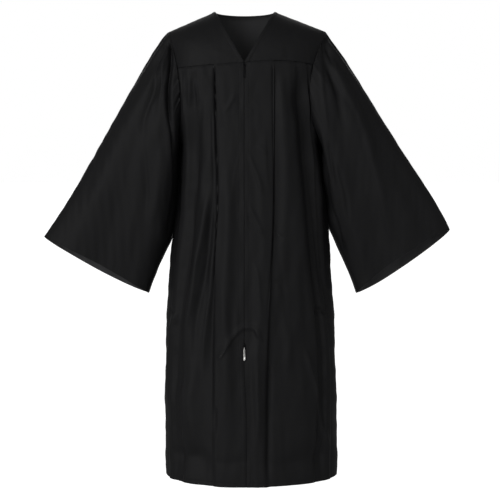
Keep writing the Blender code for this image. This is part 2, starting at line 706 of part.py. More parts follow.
def box(name, x, y, z):
    outline = np.array(((x[0], z[0]), (x[1], z[0]), (x[1], z[1]), (x[0], z[1])))
    return prism(name, outline, y[0], y[1], 1)


def circle(middle, radius, steps):
    turn = np.arange(steps) * 2 * math.pi / steps
    return np.stack((middle[0] + radius * np.cos(turn), middle[1] + radius * np.sin(turn)), axis=-1)


def combine(base, others, operation):
    """Union or difference of whole solids; the others are used up."""
    for other in others:
        cut = base.modifiers.new(operation, "BOOLEAN")
        cut.operation = operation
        cut.solver = "EXACT"
        cut.object = other
    reading = bpy.context.evaluated_depsgraph_get()
    reading.update()
    result = bpy.data.meshes.new_from_object(base.evaluated_get(reading))
    base.modifiers.clear()
    base.data = result
    for other in others:
        bpy.data.objects.remove(other, do_unlink=True)
    return base


def zip_frame(drop):
    """Frame on the zip line: X across, Y inwards from the cloth and Z up along it."""
    ahead = 0.02
    depth = float(depth_at(drop, -1))
    slope = (float(depth_at(drop + ahead, -1)) - depth) / ahead
    return Matrix.Translation((0.0, -depth, -drop)) @ Matrix.Rotation(math.atan(slope), 4, "X").inverted()


def make_slider(name, top_drop, wide_end, axis_drop):
    """Two plates either side of the zip, a post between them and two lugs with the pull's pin."""
    length = SLIDER_LENGTH
    wide_at_top = wide_end == "top"
    upper = SLIDER_WIDE / 2 if wide_at_top else SLIDER_NARROW / 2
    lower = SLIDER_NARROW / 2 if wide_at_top else SLIDER_WIDE / 2
    outline = np.array(((-upper, 0.0), (-lower, -length), (lower, -length), (upper, 0.0)))
    back_top = CLOTH + SEAM + CHAIN_THICK + SEAM
    front = prism("slider_" + name, outline, -SEAM - PLATE_THICK, -SEAM, 1)
    back = prism("back plate", outline, back_top, back_top + PLATE_THICK, 1)
    post_z = (-POST_LENGTH, -0.1 * MM) if wide_at_top else (-length + 0.1 * MM, -length + POST_LENGTH)
    sink = 0.4 * MM
    post = box("post", (-POST_WIDTH / 2, POST_WIDTH / 2), (-SEAM - sink, back_top + sink), post_z)
    pin_z = top_drop - axis_drop
    lugs = []
    for sign in (-1, 1):
        near = sign * LUG_GAP / 2
        far = sign * (LUG_GAP / 2 + LUG_THICK)
        lugs.append(box("lug", (min(near, far), max(near, far)),
                        (-PIN_HEIGHT - 1.1 * MM, -SEAM - PLATE_THICK + sink),
                        (pin_z - LUG_LENGTH / 2, pin_z + LUG_LENGTH / 2)))
    reach = LUG_GAP / 2 + LUG_THICK / 2
    pin = prism("pin", circle((-PIN_HEIGHT, pin_z), PIN_RADIUS, 12), -reach, reach, 0)
    made = combine(front, [back, post, *lugs, pin], "UNION")
    made.matrix_world = zip_frame(top_drop)
    return made


def make_pull(name, top_drop, axis_drop, finish):
    """The tab that hangs from the slider's pin: an eye, a neck and a tab with a round end."""
    half = PULL_WIDTH / 2
    end = np.linspace(math.pi, 2 * math.pi, 9)
    round_end = np.stack((half * np.cos(end), -PULL_LENGTH + half + half * np.sin(end)), axis=-1)
    neck = EYE_WIDTH / 2
    shoulder = np.array(((half * 0.82, -PULL_NECK - 1.2 * MM), (neck, -PULL_NECK), (neck, -EYE_OUTER + 0.4 * MM),
                         (-neck, -EYE_OUTER + 0.4 * MM), (-neck, -PULL_NECK),
                         (-half * 0.82, -PULL_NECK - 1.2 * MM)))
    outline = np.concatenate((round_end, shoulder))
    tab = prism("pull_" + name, outline, -PULL_THICK / 2, PULL_THICK / 2, 1)
    eye = prism("eye", circle((0.0, 0.0), EYE_OUTER, 16), -neck, neck, 0)
    hole = prism("hole", circle((0.0, 0.0), EYE_INNER, 16), -2 * neck, 2 * neck, 0)
    made = combine(tab, [eye], "UNION")
    made = combine(made, [hole], "DIFFERENCE")
    made.data.materials.clear()
    made.data.materials.append(material(finish).copy())
    place = zip_frame(top_drop)
    made.matrix_world = place @ Matrix.Translation((0.0, -PIN_HEIGHT, top_drop - axis_drop))
    return made


def make_gown():
    clear_scene()
    for side in ("right", "left"):
        make_yoke_front(side)
        make_front(side)
        make_sleeve(side)
        make_tape(side)
    make_yoke_back()
    make_back()
    for name, top_drop, wide_end, axis_drop in SLIDERS:
        make_slider(name, top_drop, wide_end, axis_drop)
        make_pull(name, top_drop, axis_drop, "black metal" if name == "upper" else "bright metal")
    bpy.context.view_layer.update()


make_gown()
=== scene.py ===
# %% [markdown]
# # Dressing a graduation gown
# A graduation gown is a long, loose robe of thin black polyester. Smooth yokes lie over the
# shoulders, pleated panels hang from them, wide bell sleeves are gathered into the armholes and a
# zip runs down the front. The frame that is loaded here holds each cut piece as a plain hollow
# solid. This lesson replaces the solids with cloth: fine, thin shells on the same forms, with
# creases, seams, stitches, a zip and woven materials.

# %% Load the frame
import math

import bpy
import numpy as np
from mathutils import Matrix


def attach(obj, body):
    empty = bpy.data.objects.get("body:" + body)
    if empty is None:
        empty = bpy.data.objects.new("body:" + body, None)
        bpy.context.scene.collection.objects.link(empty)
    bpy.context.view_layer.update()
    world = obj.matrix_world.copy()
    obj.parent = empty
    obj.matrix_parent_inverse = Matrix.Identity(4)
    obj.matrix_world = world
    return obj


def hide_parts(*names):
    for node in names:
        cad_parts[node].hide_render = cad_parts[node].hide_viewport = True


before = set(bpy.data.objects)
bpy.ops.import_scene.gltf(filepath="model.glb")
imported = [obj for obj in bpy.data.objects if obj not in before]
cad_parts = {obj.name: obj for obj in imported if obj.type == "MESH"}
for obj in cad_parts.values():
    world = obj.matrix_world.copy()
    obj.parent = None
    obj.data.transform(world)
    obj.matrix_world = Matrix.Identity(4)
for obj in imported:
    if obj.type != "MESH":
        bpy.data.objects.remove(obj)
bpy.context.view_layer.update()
MM = 0.001
SIDE_NAMES = ("right", "left")
print("nodes in the frame:", len(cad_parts))

# %% [markdown]
# ## Camera, floor and light
# The gown is seen straight from the front, from a little above its middle, through a long lens
# that keeps its proportions. A photographer would hang it before a pale sweep of paper. Here a
# very wide pale floor and a pale sky do the same from every side. Black cloth shows its folds
# only if light comes mostly from one side, so a soft key lamp stands at the upper left of the
# picture, with a weaker fill at the right, some light from below into the cuffs, as pale ground
# throws it back, and one more lamp behind for the back of the gown.

# %% Camera
CAMERA_PLACE = (0.01493, -3.5, -0.342)
CAMERA_AIM_Z = -0.63817      # height on the gown's middle at which the camera looks
LENS_MM = 93.149
SENSOR_MM = 36.0


def put(name, data):
    """A new object in the scene for the given camera, lamp or mesh."""
    made = bpy.data.objects.new(name, data)
    bpy.context.scene.collection.objects.link(made)
    return made


camera_data = bpy.data.cameras.new("camera")
camera_data.lens = LENS_MM
camera_data.sensor_width = SENSOR_MM
camera = put("camera", camera_data)
camera.location = CAMERA_PLACE
look_down = math.atan2(CAMERA_PLACE[2] - CAMERA_AIM_Z, -CAMERA_PLACE[1])
camera.rotation_euler = (math.pi / 2 - look_down, 0.0, 0.0)
bpy.context.scene.camera = camera
print("camera looks down by", round(math.degrees(look_down), 2), "degrees")

# %% Light and sky
# A sun's angle is how wide it looks: a wide one casts soft shadows, as a large lamp does.
# name, degrees round from the camera towards the right, degrees up, strength, width in degrees
LAMPS = (
    ("key", -38, 14, 1.8, 36),
    ("front", 6, 6, 0.58, 60),
    ("fill", 60, 14, 0.3, 60),
    ("bounce", 14, -20, 0.75, 60),
    ("behind", 180, 20, 0.65, 50),
)
SKY_SEEN = 1.0
SKY_LIGHT = 0.2


def seen_and_lit(tree, seen, lit):
    """A socket with one value for the camera's own rays and another one for all other rays."""
    rays = tree.nodes.new("ShaderNodeLightPath")
    level = tree.nodes.new("ShaderNodeMapRange")
    level.inputs["To Min"].default_value = lit
    level.inputs["To Max"].default_value = seen
    tree.links.new(rays.outputs["Is Camera Ray"], level.inputs["Value"])
    return level.outputs["Result"]


for name, turn, rise, strength, width in LAMPS:
    light = bpy.data.lights.new(name, "SUN")
    light.energy = strength
    light.angle = math.radians(width)
    put(name, light).rotation_euler = (math.radians(90 - rise), 0.0, math.radians(turn))

world = bpy.data.worlds.new("sky")
bpy.context.scene.world = world
world.use_nodes = True
sky = world.node_tree.nodes["Background"]
sky.inputs["Color"].default_value = (1.0, 1.0, 1.0, 1.0)
world.node_tree.links.new(seen_and_lit(world.node_tree, SKY_SEEN, SKY_LIGHT), sky.inputs["Strength"])
bpy.context.scene.view_settings.view_transform = "Standard"
print("lamps:", [row[0] for row in LAMPS])

# %% Floor
# The paper shows white, but it gives the gown only a little light from below.
FLOOR_Z = -2.4
FLOOR_REACH = 60.0
PAPER_SEEN = 0.8
PAPER_GLOW = 0.0
PAPER = {"Base Color": (0.7, 0.7, 0.7, 1), "Roughness": 0.9, "Specular IOR Level": 0.2,
         "Emission Color": (1, 1, 1, 1)}


def new_material(name, values):
    """A material with values on its shader's sockets; also gives its node tree and shader."""
    made = bpy.data.materials.new(name)
    made.use_nodes = True
    shader = made.node_tree.nodes["Principled BSDF"]
    for label, value in values.items():
        shader.inputs[label].default_value = value
    return made, made.node_tree, shader


turn = np.linspace(0, 2 * np.pi, 97)[:-1]
floor_points = np.stack((FLOOR_REACH * np.cos(turn), FLOOR_REACH * np.sin(turn), 0 * turn + FLOOR_Z), 1)
floor_mesh = bpy.data.meshes.new("floor")
floor_mesh.from_pydata(floor_points.tolist(), [], [list(range(len(turn)))])
floor = put("floor", floor_mesh)
paper, paper_tree, paper_shader = new_material("floor paper", PAPER)
paper_glow = seen_and_lit(paper_tree, PAPER_SEEN, PAPER_GLOW)
paper_tree.links.new(paper_glow, paper_shader.inputs["Emission Strength"])
floor_mesh.materials.append(paper)

# %% [markdown]
# ## Small tools
# Every piece of this gown is a sheet, so each one is worked out as a grid of points from a few
# tables: rows run down the cloth and columns run across it. These helpers read a table as a
# smooth curve, measure along lines, and turn a grid into a closed shell. Whole arrays are worked
# out at once, which is much faster in Blender than a loop over vertices.


# %% Curves through tables
def ease(share):
    """0 below 0, 1 above 1 and 3 s^2 - 2 s^3 between, which starts and stops gently."""
    share = np.clip(share, 0.0, 1.0)
    return share * share * (3.0 - 2.0 * share)


def bell(away, width):
    """1 at no distance, falling off to both sides: exp(-(away / width)^2)."""
    return np.exp(-(away / width) ** 2)


def through(keys, values, at):
    """Smooth curve through a table's rows: cubic pieces that share the slope at each row."""
    keys = np.asarray(keys, dtype=float)
    values = np.asarray(values, dtype=float)
    slopes = np.gradient(values, keys, axis=0)
    at = np.clip(np.asarray(at, dtype=float), keys[0], keys[-1])
    left = np.clip(np.searchsorted(keys, at, side="right") - 1, 0, len(keys) - 2)
    step = keys[left + 1] - keys[left]
    t = (at - keys[left]) / step
    if values.ndim > 1:
        step = step[..., None]
        t = t[..., None]
    return (
        (2 * t**3 - 3 * t**2 + 1) * values[left]
        + (t**3 - 2 * t**2 + t) * step * slopes[left]
        + (3 * t**2 - 2 * t**3) * values[left + 1]
        + (t**3 - t**2) * step * slopes[left + 1]
    )


def column(table, number, at):
    """One column of a table, read as a smooth curve over its first column."""
    return through(table[:, 0], table[:, number], at)


def walked(points, axis=0):
    """Length walked along one axis of an array of points, 0 at its start."""
    steps = np.diff(points, axis=axis, prepend=points.take((0,), axis=axis))
    return np.cumsum(np.linalg.norm(steps, axis=-1), axis=axis)


def along(points, shares):
    """Points at the given shares of the length of a smooth line through a few points."""
    points = np.asarray(points, dtype=float)
    lengths = walked(points)
    return through(lengths / lengths[-1], points, np.asarray(shares, dtype=float))


def unit(vectors):
    """The same directions with length 1."""
    return vectors / np.maximum(np.linalg.norm(vectors, axis=-1, keepdims=True), 1e-12)


def read_rows(at, keys, values):
    """Straight-line reading of a table in every row at once.

    Each row's keys are moved on by more than their reach, so that one long table holds them all.
    """
    reach = float(keys.max() - keys.min()) + 1.0
    moved = np.arange(len(keys))[:, None] * reach
    return np.interp((at + moved).ravel(), (keys + moved).ravel(), values.ravel()).reshape(at.shape)


def read_points(at, keys, points):
    """Points read from every row at once, each coordinate as a table of its own."""
    return np.stack([read_rows(at, keys, points[..., k]) for k in range(3)], axis=-1)


def outward_normals(grid, inside, around=False):
    """Direction square to the sheet at each point, pointing away from what lies inside."""
    if around:
        across = np.roll(grid, -1, axis=1) - np.roll(grid, 1, axis=1)
    else:
        across = np.gradient(grid, axis=1)
    normals = unit(np.cross(np.gradient(grid, axis=0), across))
    return -normals if np.sum(normals * (grid - inside)) < 0 else normals


# %% Meshes from arrays
def add_mesh(name, points, face_sets, uv=None, sharp=60):
    """A new object from an array of points and arrays of faces, each set with one face size."""
    mesh = bpy.data.meshes.new(name)
    corners = np.concatenate([faces.ravel() for faces in face_sets]).astype(np.int32)
    sizes = np.concatenate([np.full(len(faces), faces.shape[1]) for faces in face_sets])
    starts = np.concatenate(((0,), np.cumsum(sizes)[:-1])).astype(np.int32)
    mesh.vertices.add(len(points))
    mesh.vertices.foreach_set("co", np.asarray(points, dtype=np.float32).ravel())
    mesh.loops.add(len(corners))
    mesh.loops.foreach_set("vertex_index", corners)
    mesh.polygons.add(len(starts))
    mesh.polygons.foreach_set("loop_start", starts)
    if uv is not None:
        layer = mesh.uv_layers.new(name="cloth")
        layer.data.foreach_set("uv", np.asarray(uv, dtype=np.float32)[corners].ravel())
    mesh.update(calc_edges=True)
    mesh.validate()
    mesh.shade_smooth()
    mesh.set_sharp_from_angle(angle=math.radians(sharp))
    return put(name, mesh)


def grid_quads(rows, columns, around):
    """Corner numbers of the squares of a grid, one row of four for each square."""
    index = np.arange(rows * columns).reshape(rows, columns)
    if around:
        index = np.concatenate((index, index[:, :1]), axis=1)
    quads = np.stack((index[:-1, :-1], index[1:, :-1], index[1:, 1:], index[:-1, 1:]), -1)
    return index, quads.reshape(-1, 4)


def metres_on_cloth(grid, around):
    """UV in metres of cloth: the length walked across each row and down each column."""
    across = walked(grid, 1)
    if not around:
        across = across - across[:, -1:] / 2
    return np.stack((across, walked(grid)), axis=-1)


CLOTH_THICK = 0.3 * MM
IN_BODY = np.array((0.0, 0.0, -0.6))     # points inside the gown, which its cloth faces away from
IN_YOKES = np.array((0.0, 0.0, -0.2))


def cloth_shell(name, outer, inside, thick, around=False):
    """A closed thin shell: the grid is its outer face, and the inner one lies one thickness in.

    The cloth faces away from the point inside, or from one for each row. Narrow squares round
    the rims join the two faces.
    """
    rows, columns = outer.shape[:2]
    normals = outward_normals(outer, inside, around)
    inner = outer - normals * np.broadcast_to(thick, (rows, columns))[..., None]
    index, quads = grid_quads(rows, columns, around)
    count = rows * columns
    edges = [index[0], index[-1, ::-1]]
    if not around:
        edges += [index[::-1, 0], index[:, -1]]
    rims = [np.stack((edge[:-1], edge[1:], edge[1:] + count, edge[:-1] + count), 1) for edge in edges]
    faces = np.concatenate([quads, quads[:, ::-1] + count] + rims)
    a, b, c = (outer.reshape(-1, 3)[quads[:, k]] for k in (0, 1, 2))
    if np.sum(np.cross(b - a, c - a) * normals.reshape(-1, 3)[quads[:, 0]]) < 0:
        faces = faces[:, ::-1]
    uv = metres_on_cloth(outer, around).reshape(-1, 2)
    made = add_mesh(name, np.concatenate((outer.reshape(-1, 3), inner.reshape(-1, 3))), [faces],
                    np.concatenate((uv, uv)))
    # Inner faces take the second material. On the gown's own pieces that is a much lighter copy of the cloth:
    # painted light for the insides that the lamps hardly reach.
    on_inner = np.zeros(len(faces), dtype=np.int32)
    on_inner[len(quads):2 * len(quads)] = 1
    made.data.polygons.foreach_set("material_index", on_inner)
    print(name, len(faces) * 2, "triangles")
    return made, normals


pieces = {}
surfaces = {}


def make_piece(name, outer, inside, thick, from_edge, drop=None, around=False):
    """One piece of cloth; its surface is kept for the zip and the stitches.

    from_edge is each point's distance from the edge that is stitched, or None.
    """
    pieces[name], normals = cloth_shell(name + "_cloth", outer, inside, thick, around)
    surfaces[name] = (outer, normals, from_edge, drop)


# %% [markdown]
# ## Creases
# Cloth that has been folded, shipped and hung shows troughs and ridges of every length. They
# could be sculpted by hand or left to a simulation. A short table does it too, and it puts each
# one just where this gown has it. Every row of a table is one crease: the line that it follows,
# its height, how far it spreads to each side, and how it fades at its two ends.


# %% A crease along a line
CREASE_STEP = 1.5 * MM       # between the points of a crease's line
CREASE_ROOM = 2.6            # after so many widths a crease is nothing
CHANCE_LEAN = 0.07           # how far chance creases lean and bow, as shares of their length
CHANCE_BOW = 0.02
CHANCE_WIDTHS = (4, 13)
SOFT_WAVES = 9               # how many sines make up the soft waves


def crease_heights(x, drop, creases):
    """Sum of all creases at points given by their x and their drop below the shoulders.

    A point s to the side of a crease's line gets height * exp(-(s / width)^2), with one width
    towards -X and one towards +X of a line that runs down, times a fade at both ends.
    """
    total = np.zeros_like(x)
    for line, height, left, right, fade_in, fade_out in creases:
        line = np.array(line, dtype=float) * MM
        reach = np.linalg.norm(np.diff(line, axis=0), axis=1).sum()
        count = max(int(reach / CREASE_STEP), 12)
        dense = along(line, np.linspace(0, 1, count))
        heading = unit(np.gradient(dense, axis=0))
        aside = np.stack((heading[:, 1], -heading[:, 0]), axis=-1)
        room = CREASE_ROOM * max(left, right) * MM
        low, high = dense.min(axis=0) - room, dense.max(axis=0) + room
        near = (x > low[0]) & (x < high[0]) & (drop > low[1]) & (drop < high[1])
        if not near.any():
            continue
        points = np.stack((x[near], drop[near]), axis=-1)
        gaps = (points[:, :1] - dense[None, :, 0]) ** 2 + (points[:, 1:] - dense[None, :, 1]) ** 2
        nearest = gaps.argmin(axis=1)
        away = points - dense[nearest]
        beside = np.sum(away * aside[nearest], axis=1)
        share = nearest / (count - 1) + np.sum(away * heading[nearest], axis=1) / reach
        width = np.where(beside < 0, left, right) * MM
        fade = ease(share / fade_in) * ease((1 - share) / fade_out)
        total[near] += height * MM * fade * bell(beside, width)
    return total


def chance_creases(seed, count, x_range, drop_range, tallest, lengths=(60, 260)):
    """A seeded table of low, mostly upright creases, uneven in place, length, depth and lean."""
    dice = np.random.default_rng(seed)
    table = []
    for _ in range(count):
        x = dice.uniform(*x_range)
        top = dice.uniform(*drop_range)
        length = dice.uniform(*lengths)
        lean = dice.normal(0.0, CHANCE_LEAN) * length
        bow = dice.normal(0.0, CHANCE_BOW) * length
        line = ((x, top), (x + lean / 2 + bow, top + length / 2), (x + lean, top + length))
        height = dice.choice((-1, 1)) * dice.uniform(0.25, 1.0) * tallest
        table.append((line, height, dice.uniform(*CHANCE_WIDTHS), dice.uniform(*CHANCE_WIDTHS), 0.4, 0.4))
    return table


def soft_waves(x, drop, seed, height=0.45 * MM):
    """Low waves that cover the cloth: a sum of sines, most of them long up and down.

    Each one is height * sin(2 pi (x / short + drop / long) + phase), bent by a slow sine of the
    drop, so that none of them reads as a regular stripe.
    """
    dice = np.random.default_rng(seed)
    total = np.zeros_like(x)
    for _ in range(SOFT_WAVES):
        short = dice.uniform(16, 60) * MM
        long = dice.uniform(120, 420) * MM * dice.choice((-1, 1))
        bend = 0.9 * np.sin(drop / dice.uniform(0.03, 0.09) + dice.uniform(0, 6))
        tall = dice.uniform(0.5, 1.0)
        total += tall * np.sin(2 * math.pi * (x / short + drop / long) + bend + dice.uniform(0, 6))
    return height * total / 3


# %% [markdown]
# ## The gown's own lines
# Drop is the distance below the high shoulder points, and x runs towards the wearer's left. The
# body is a stack of ovals between the side seams, and the armhole is an oval that stands on each
# side of it. All pieces read the same tables, so their sewn edges meet.

# %% Sizes
FRONT_SEAM_DROP = 0.1395
BACK_SEAM_DROP = 0.142
HEM_DROP = 1.254
NECK_BACK = 0.075
NECK_DIP = 0.004
NECK_BAND = 9 * MM
ZIP_END_DROP = 0.881
TIP_DROP = 0.052
UNDER_DROP = 0.352
ARMHOLE_MIDDLE = (UNDER_DROP + TIP_DROP) / 2
ARMHOLE_HALF = (UNDER_DROP - TIP_DROP) / 2
ARMHOLE_DEPTHS = {-1: 0.082, 1: 0.088}
ARMHOLE_CURVE = 2.2          # power of the inset that draws the armhole's middle in
SEAM = 0.3 * MM              # gap between two pieces at a sewn seam
SIDES = {
    "right": dict(sign=-1, neck_x=-0.078, tip_x=-0.200, under_x=-0.176, inset=0.018,
                  seam_drop=0.152, seam_rise=0.001, cuff_front=0.012, cuff_back=0.021, column=1),
    "left": dict(sign=1, neck_x=0.080, tip_x=0.2160, under_x=0.201, inset=0.036,
                 seam_drop=0.1425, seam_rise=0.007, cuff_front=0.026, cuff_back=0.025, column=2),
}
# drop, depth in front of the shoulder line, depth behind it, power of the oval
BODY = np.array((
    (0.1395, 0.1210, 0.1120, 2.70),
    (0.242, 0.1285, 0.1240, 2.60),
    (0.352, 0.1370, 0.1330, 2.20),
    (0.492, 0.1420, 0.1390, 2.00),
    (0.692, 0.1460, 0.1450, 2.00),
    (0.892, 0.1490, 0.1490, 2.00),
    (1.092, 0.1530, 0.1530, 2.00),
    (1.254, 0.1550, 0.1560, 2.00),
))
# drop, x of the right side seam, x of the left side seam
SIDE_SEAMS = np.array((
    (0.352, -0.1760, 0.2010),
    (0.442, -0.1815, 0.2145),
    (0.512, -0.1870, 0.2225),
    (0.592, -0.1945, 0.2290),
    (0.692, -0.2045, 0.2350),
    (0.802, -0.2115, 0.2435),
    (0.922, -0.2150, 0.2475),
    (1.052, -0.2175, 0.2525),
    (1.162, -0.2172, 0.2545),
    (1.254, -0.2165, 0.2545),
))
print("gown is", HEM_DROP, "m long")


# %% Armhole and body
def armhole(side, angle, face):
    """Point of the armhole at an angle from its top; face is -1 in front and 1 behind.

    x and drop follow an ellipse from the shoulder's tip to the underarm, y swings out by the
    armhole's depth times the sine, and the inset draws its middle in towards the neck.
    """
    sizes = SIDES[side]
    swell = np.sin(angle)
    x = (sizes["tip_x"] + sizes["under_x"]) / 2 + (sizes["tip_x"] - sizes["under_x"]) / 2 * np.cos(angle)
    x = x - sizes["sign"] * sizes["inset"] * np.maximum(swell, 0.0) ** ARMHOLE_CURVE
    return np.stack((x, face * ARMHOLE_DEPTHS[face] * swell,
                     ARMHOLE_HALF * np.cos(angle) - ARMHOLE_MIDDLE), axis=-1)


def corner_angle(side):
    """Angle round the armhole at which the yoke seam meets it."""
    return math.acos((ARMHOLE_MIDDLE - SIDES[side]["seam_drop"]) / ARMHOLE_HALF)


HEM_TURN = 12 * MM           # depth of the turned-up hem
HEM_STITCH = 11 * MM         # its line of stitches, above the edge
SEAM_WANDER = 0.6 * MM       # how far the side seam strays from a smooth line
# rows above the hem and below the underarm, where the sheet bends most, and the range between
LOW_ROWS = np.array((0.0180, 0.0150, 0.0126, 0.0118, 0.0110, 0.0102, 0.0080, 0.0040, 0.0))
CLOSE_ROWS = np.array((1.0, 2.2, 3.7, 5.7, 8.3, 11.8, 15.8)) * MM
EVEN_ROWS = (UNDER_DROP + 0.020, HEM_DROP - 0.022)
ROW_CROWD = 1.3              # power that brings the rows closer together towards the underarm
ROWS = {-1: (58, 190), 1: (44, 142)}   # rows beside the armhole and below it, front and back
ARC_POINTS = 241             # points of one level, from the centre to the edge


def body_lines(side, face):
    """Outer edge of each row of a body panel and the drop of its middle, from yoke to hem."""
    top = FRONT_SEAM_DROP if face < 0 else BACK_SEAM_DROP
    upper, lower = ROWS[face]
    seam_drop = SIDES[side]["seam_drop"]
    share = 1.0 - np.linspace(1.0, 0.0, upper) ** ROW_CROWD
    level = 1.0 - (seam_drop + share * (UNDER_DROP - seam_drop) - TIP_DROP) / ARMHOLE_HALF
    edges = armhole(side, np.arccos(np.clip(level, -1.0, 1.0)), face)
    edges[-1, 1] = 0.0
    skirt = np.concatenate((UNDER_DROP + CLOSE_ROWS, np.linspace(*EVEN_ROWS, lower), HEM_DROP - LOW_ROWS))
    seam_x = column(SIDE_SEAMS, SIDES[side]["column"], skirt)
    wander = np.sin(skirt / 0.031) + 0.8 * np.sin(skirt / 0.0127 + 1.0) + 0.5 * np.sin(skirt / 0.0061)
    seam_x = seam_x + SIDES[side]["sign"] * SEAM_WANDER * wander * ease((skirt - UNDER_DROP) / 0.04)
    side_edges = np.stack((seam_x, 0 * seam_x, -skirt), axis=-1)
    return np.concatenate((edges, side_edges)), np.concatenate((top + share * (UNDER_DROP - top), skirt))


def body_arcs(side, face, edges, drops, centre_gap):
    """All levels of one half of the body: each an arc of an oval, from the centre to the edge.

    x = span * sin(a)^(2/power) and y = depth * cos(a)^(2/power) for angles a from 0 to the one
    at which the oval meets the edge. The height runs straight from the centre to the edge. Gives
    the points, their distances from the centre, and the oval's outward directions.
    """
    sizes = SIDES[side]
    depth = column(BODY, 1 if face < 0 else 2, drops)[:, None]
    power = np.maximum(column(BODY, 3, drops), 2.0)[:, None]
    reach = np.arccos(np.minimum(abs(edges[:, 1:2]) / depth, 1.0) ** (power / 2))
    angle = reach * np.linspace(0.0, 1.0, ARC_POINTS)[None]
    start = sizes["sign"] * np.broadcast_to(centre_gap, drops.shape)[:, None]
    span = (edges[:, :1] - start) / np.sin(reach) ** (2 / power)
    across = np.sin(angle) ** (2 / power)
    ahead = np.maximum(np.cos(angle), 0.0) ** (2 / power)
    share = across / across[:, -1:]
    z = -drops[:, None] + (edges[:, 2:] + drops[:, None]) * share
    if face < 0:
        fade = 1.0 - ease((drops - FRONT_SEAM_DROP) / (UNDER_DROP - FRONT_SEAM_DROP))[:, None]
        z = z + sizes["seam_rise"] * 4 * share * (1 - share) * fade
    points = np.stack((start + span * across, face * depth * ahead, z), axis=-1)
    outward = unit(np.stack((sizes["sign"] * across ** (power - 1) / abs(span),
                             face * ahead ** (power - 1) / depth, 0 * across), axis=-1))
    return points, walked(points[..., :2], 1), outward


def place_on(arcs, distance):
    """Points at the given distances along every level of the body, and the directions outward."""
    points, lengths, outward = arcs
    return read_points(distance, lengths, points), unit(read_points(distance, lengths, outward))


# %% [markdown]
# ## Pleats
# Each pleat is folded under towards the side and caught in the yoke seam. It is pressed flat at
# the top and opens into a soft fold lower down. One could fold a flat sheet with bones or a
# simulation. A formula is steadier: the cloth walks outwards, turns back on itself and walks
# outwards again, while it sinks by one step.

# %% Pleat tables
# drop, half its width, how far it is tucked under, half its step in depth
PLEAT_SHAPE = np.array((
    (0.1395, 0.0112, 0.0070, 0.0029),
    (0.292, 0.0118, 0.0072, 0.0030),
    (0.472, 0.0140, 0.0070, 0.0036),
    (0.692, 0.0200, 0.0058, 0.0050),
    (0.892, 0.0240, 0.0045, 0.0056),
    (1.254, 0.0260, 0.0030, 0.0024),
))
PLEAT_DROPS = PLEAT_SHAPE[:, 0]
# Distance of each front pleat from the centre front at those drops, and its share of the width
FRONT_PLEATS = {
    "right": (
        ((0.0766, 0.0645, 0.0630, 0.0780, 0.0800, 0.0810), 1.0),
        ((0.1220, 0.1190, 0.1230, 0.1450, 0.1600, 0.1650), 0.9),
        ((0.1560, 0.1570, 0.1640, 0.1870, 0.2000, 0.2040), 0.7),
    ),
    "left": (
        ((0.0748, 0.0748, 0.0748, 0.0700, 0.0620, 0.0620), 1.0),
        ((0.1280, 0.1420, 0.1580, 0.1760, 0.1920, 0.1900), 0.9),
        ((0.1590, 0.1740, 0.1900, 0.2110, 0.2270, 0.2330), 0.7),
    ),
}
# The back's pleats on each side: distance from the centre back at the yoke, share of the way to
# the side seam at the hem, share of the width
BACK_PLEATS = (
    (0.0210, 0.129, 0.86),
    (0.0500, 0.326, 0.90),
    (0.0800, 0.522, 0.84),
    (0.1110, 0.713, 0.90),
    (0.1420, 0.866, 0.80),
)
OPENING_END = 0.442          # drop at which the pressed pleats have opened
SEWN_STEP = 0.4              # share of a pleat's step that is there at the seam
BACK_START = 0.2             # share of the way to its first pleat at which the back leaves its middle
PLACKET = np.array((0, 0.4, 0.9, 1.6, 2.6, 4, 5.5, 7, 8.5, 10, 11, 11.8, 12.2, 12.5, 12.8, 13.2, 14)) * MM
PLACKET_END = 15 * MM
# For each face, -1 in front and 1 behind: where the first columns of a row lie, how many steps
# there are between its pleats, and the turns of the columns across a pleat
LEADS = {-1: PLACKET, 1: np.zeros(1)}
STRETCHES = {-1: (28, 20, 20, 24), 1: (7, 7, 7, 7, 8, 12)}
TURNS = {-1: np.linspace(-1, 1, 23), 1: np.linspace(-1, 1, 15)}


def pleats_of(side, face, drops):
    """Places of the pleats of half a panel at some drops, and each one's share of the width."""
    if face < 0:
        return (np.stack([through(PLEAT_DROPS, places, drops) for places, _ in FRONT_PLEATS[side]], 1),
                [share for _, share in FRONT_PLEATS[side]])
    spread = ease((drops - BACK_SEAM_DROP) / (HEM_DROP - BACK_SEAM_DROP))
    hem_x = abs(SIDE_SEAMS[-1, SIDES[side]["column"]])
    return (np.stack([top + (share * hem_x - top) * spread for top, share, _ in BACK_PLEATS], 1),
            [share for _, _, share in BACK_PLEATS])


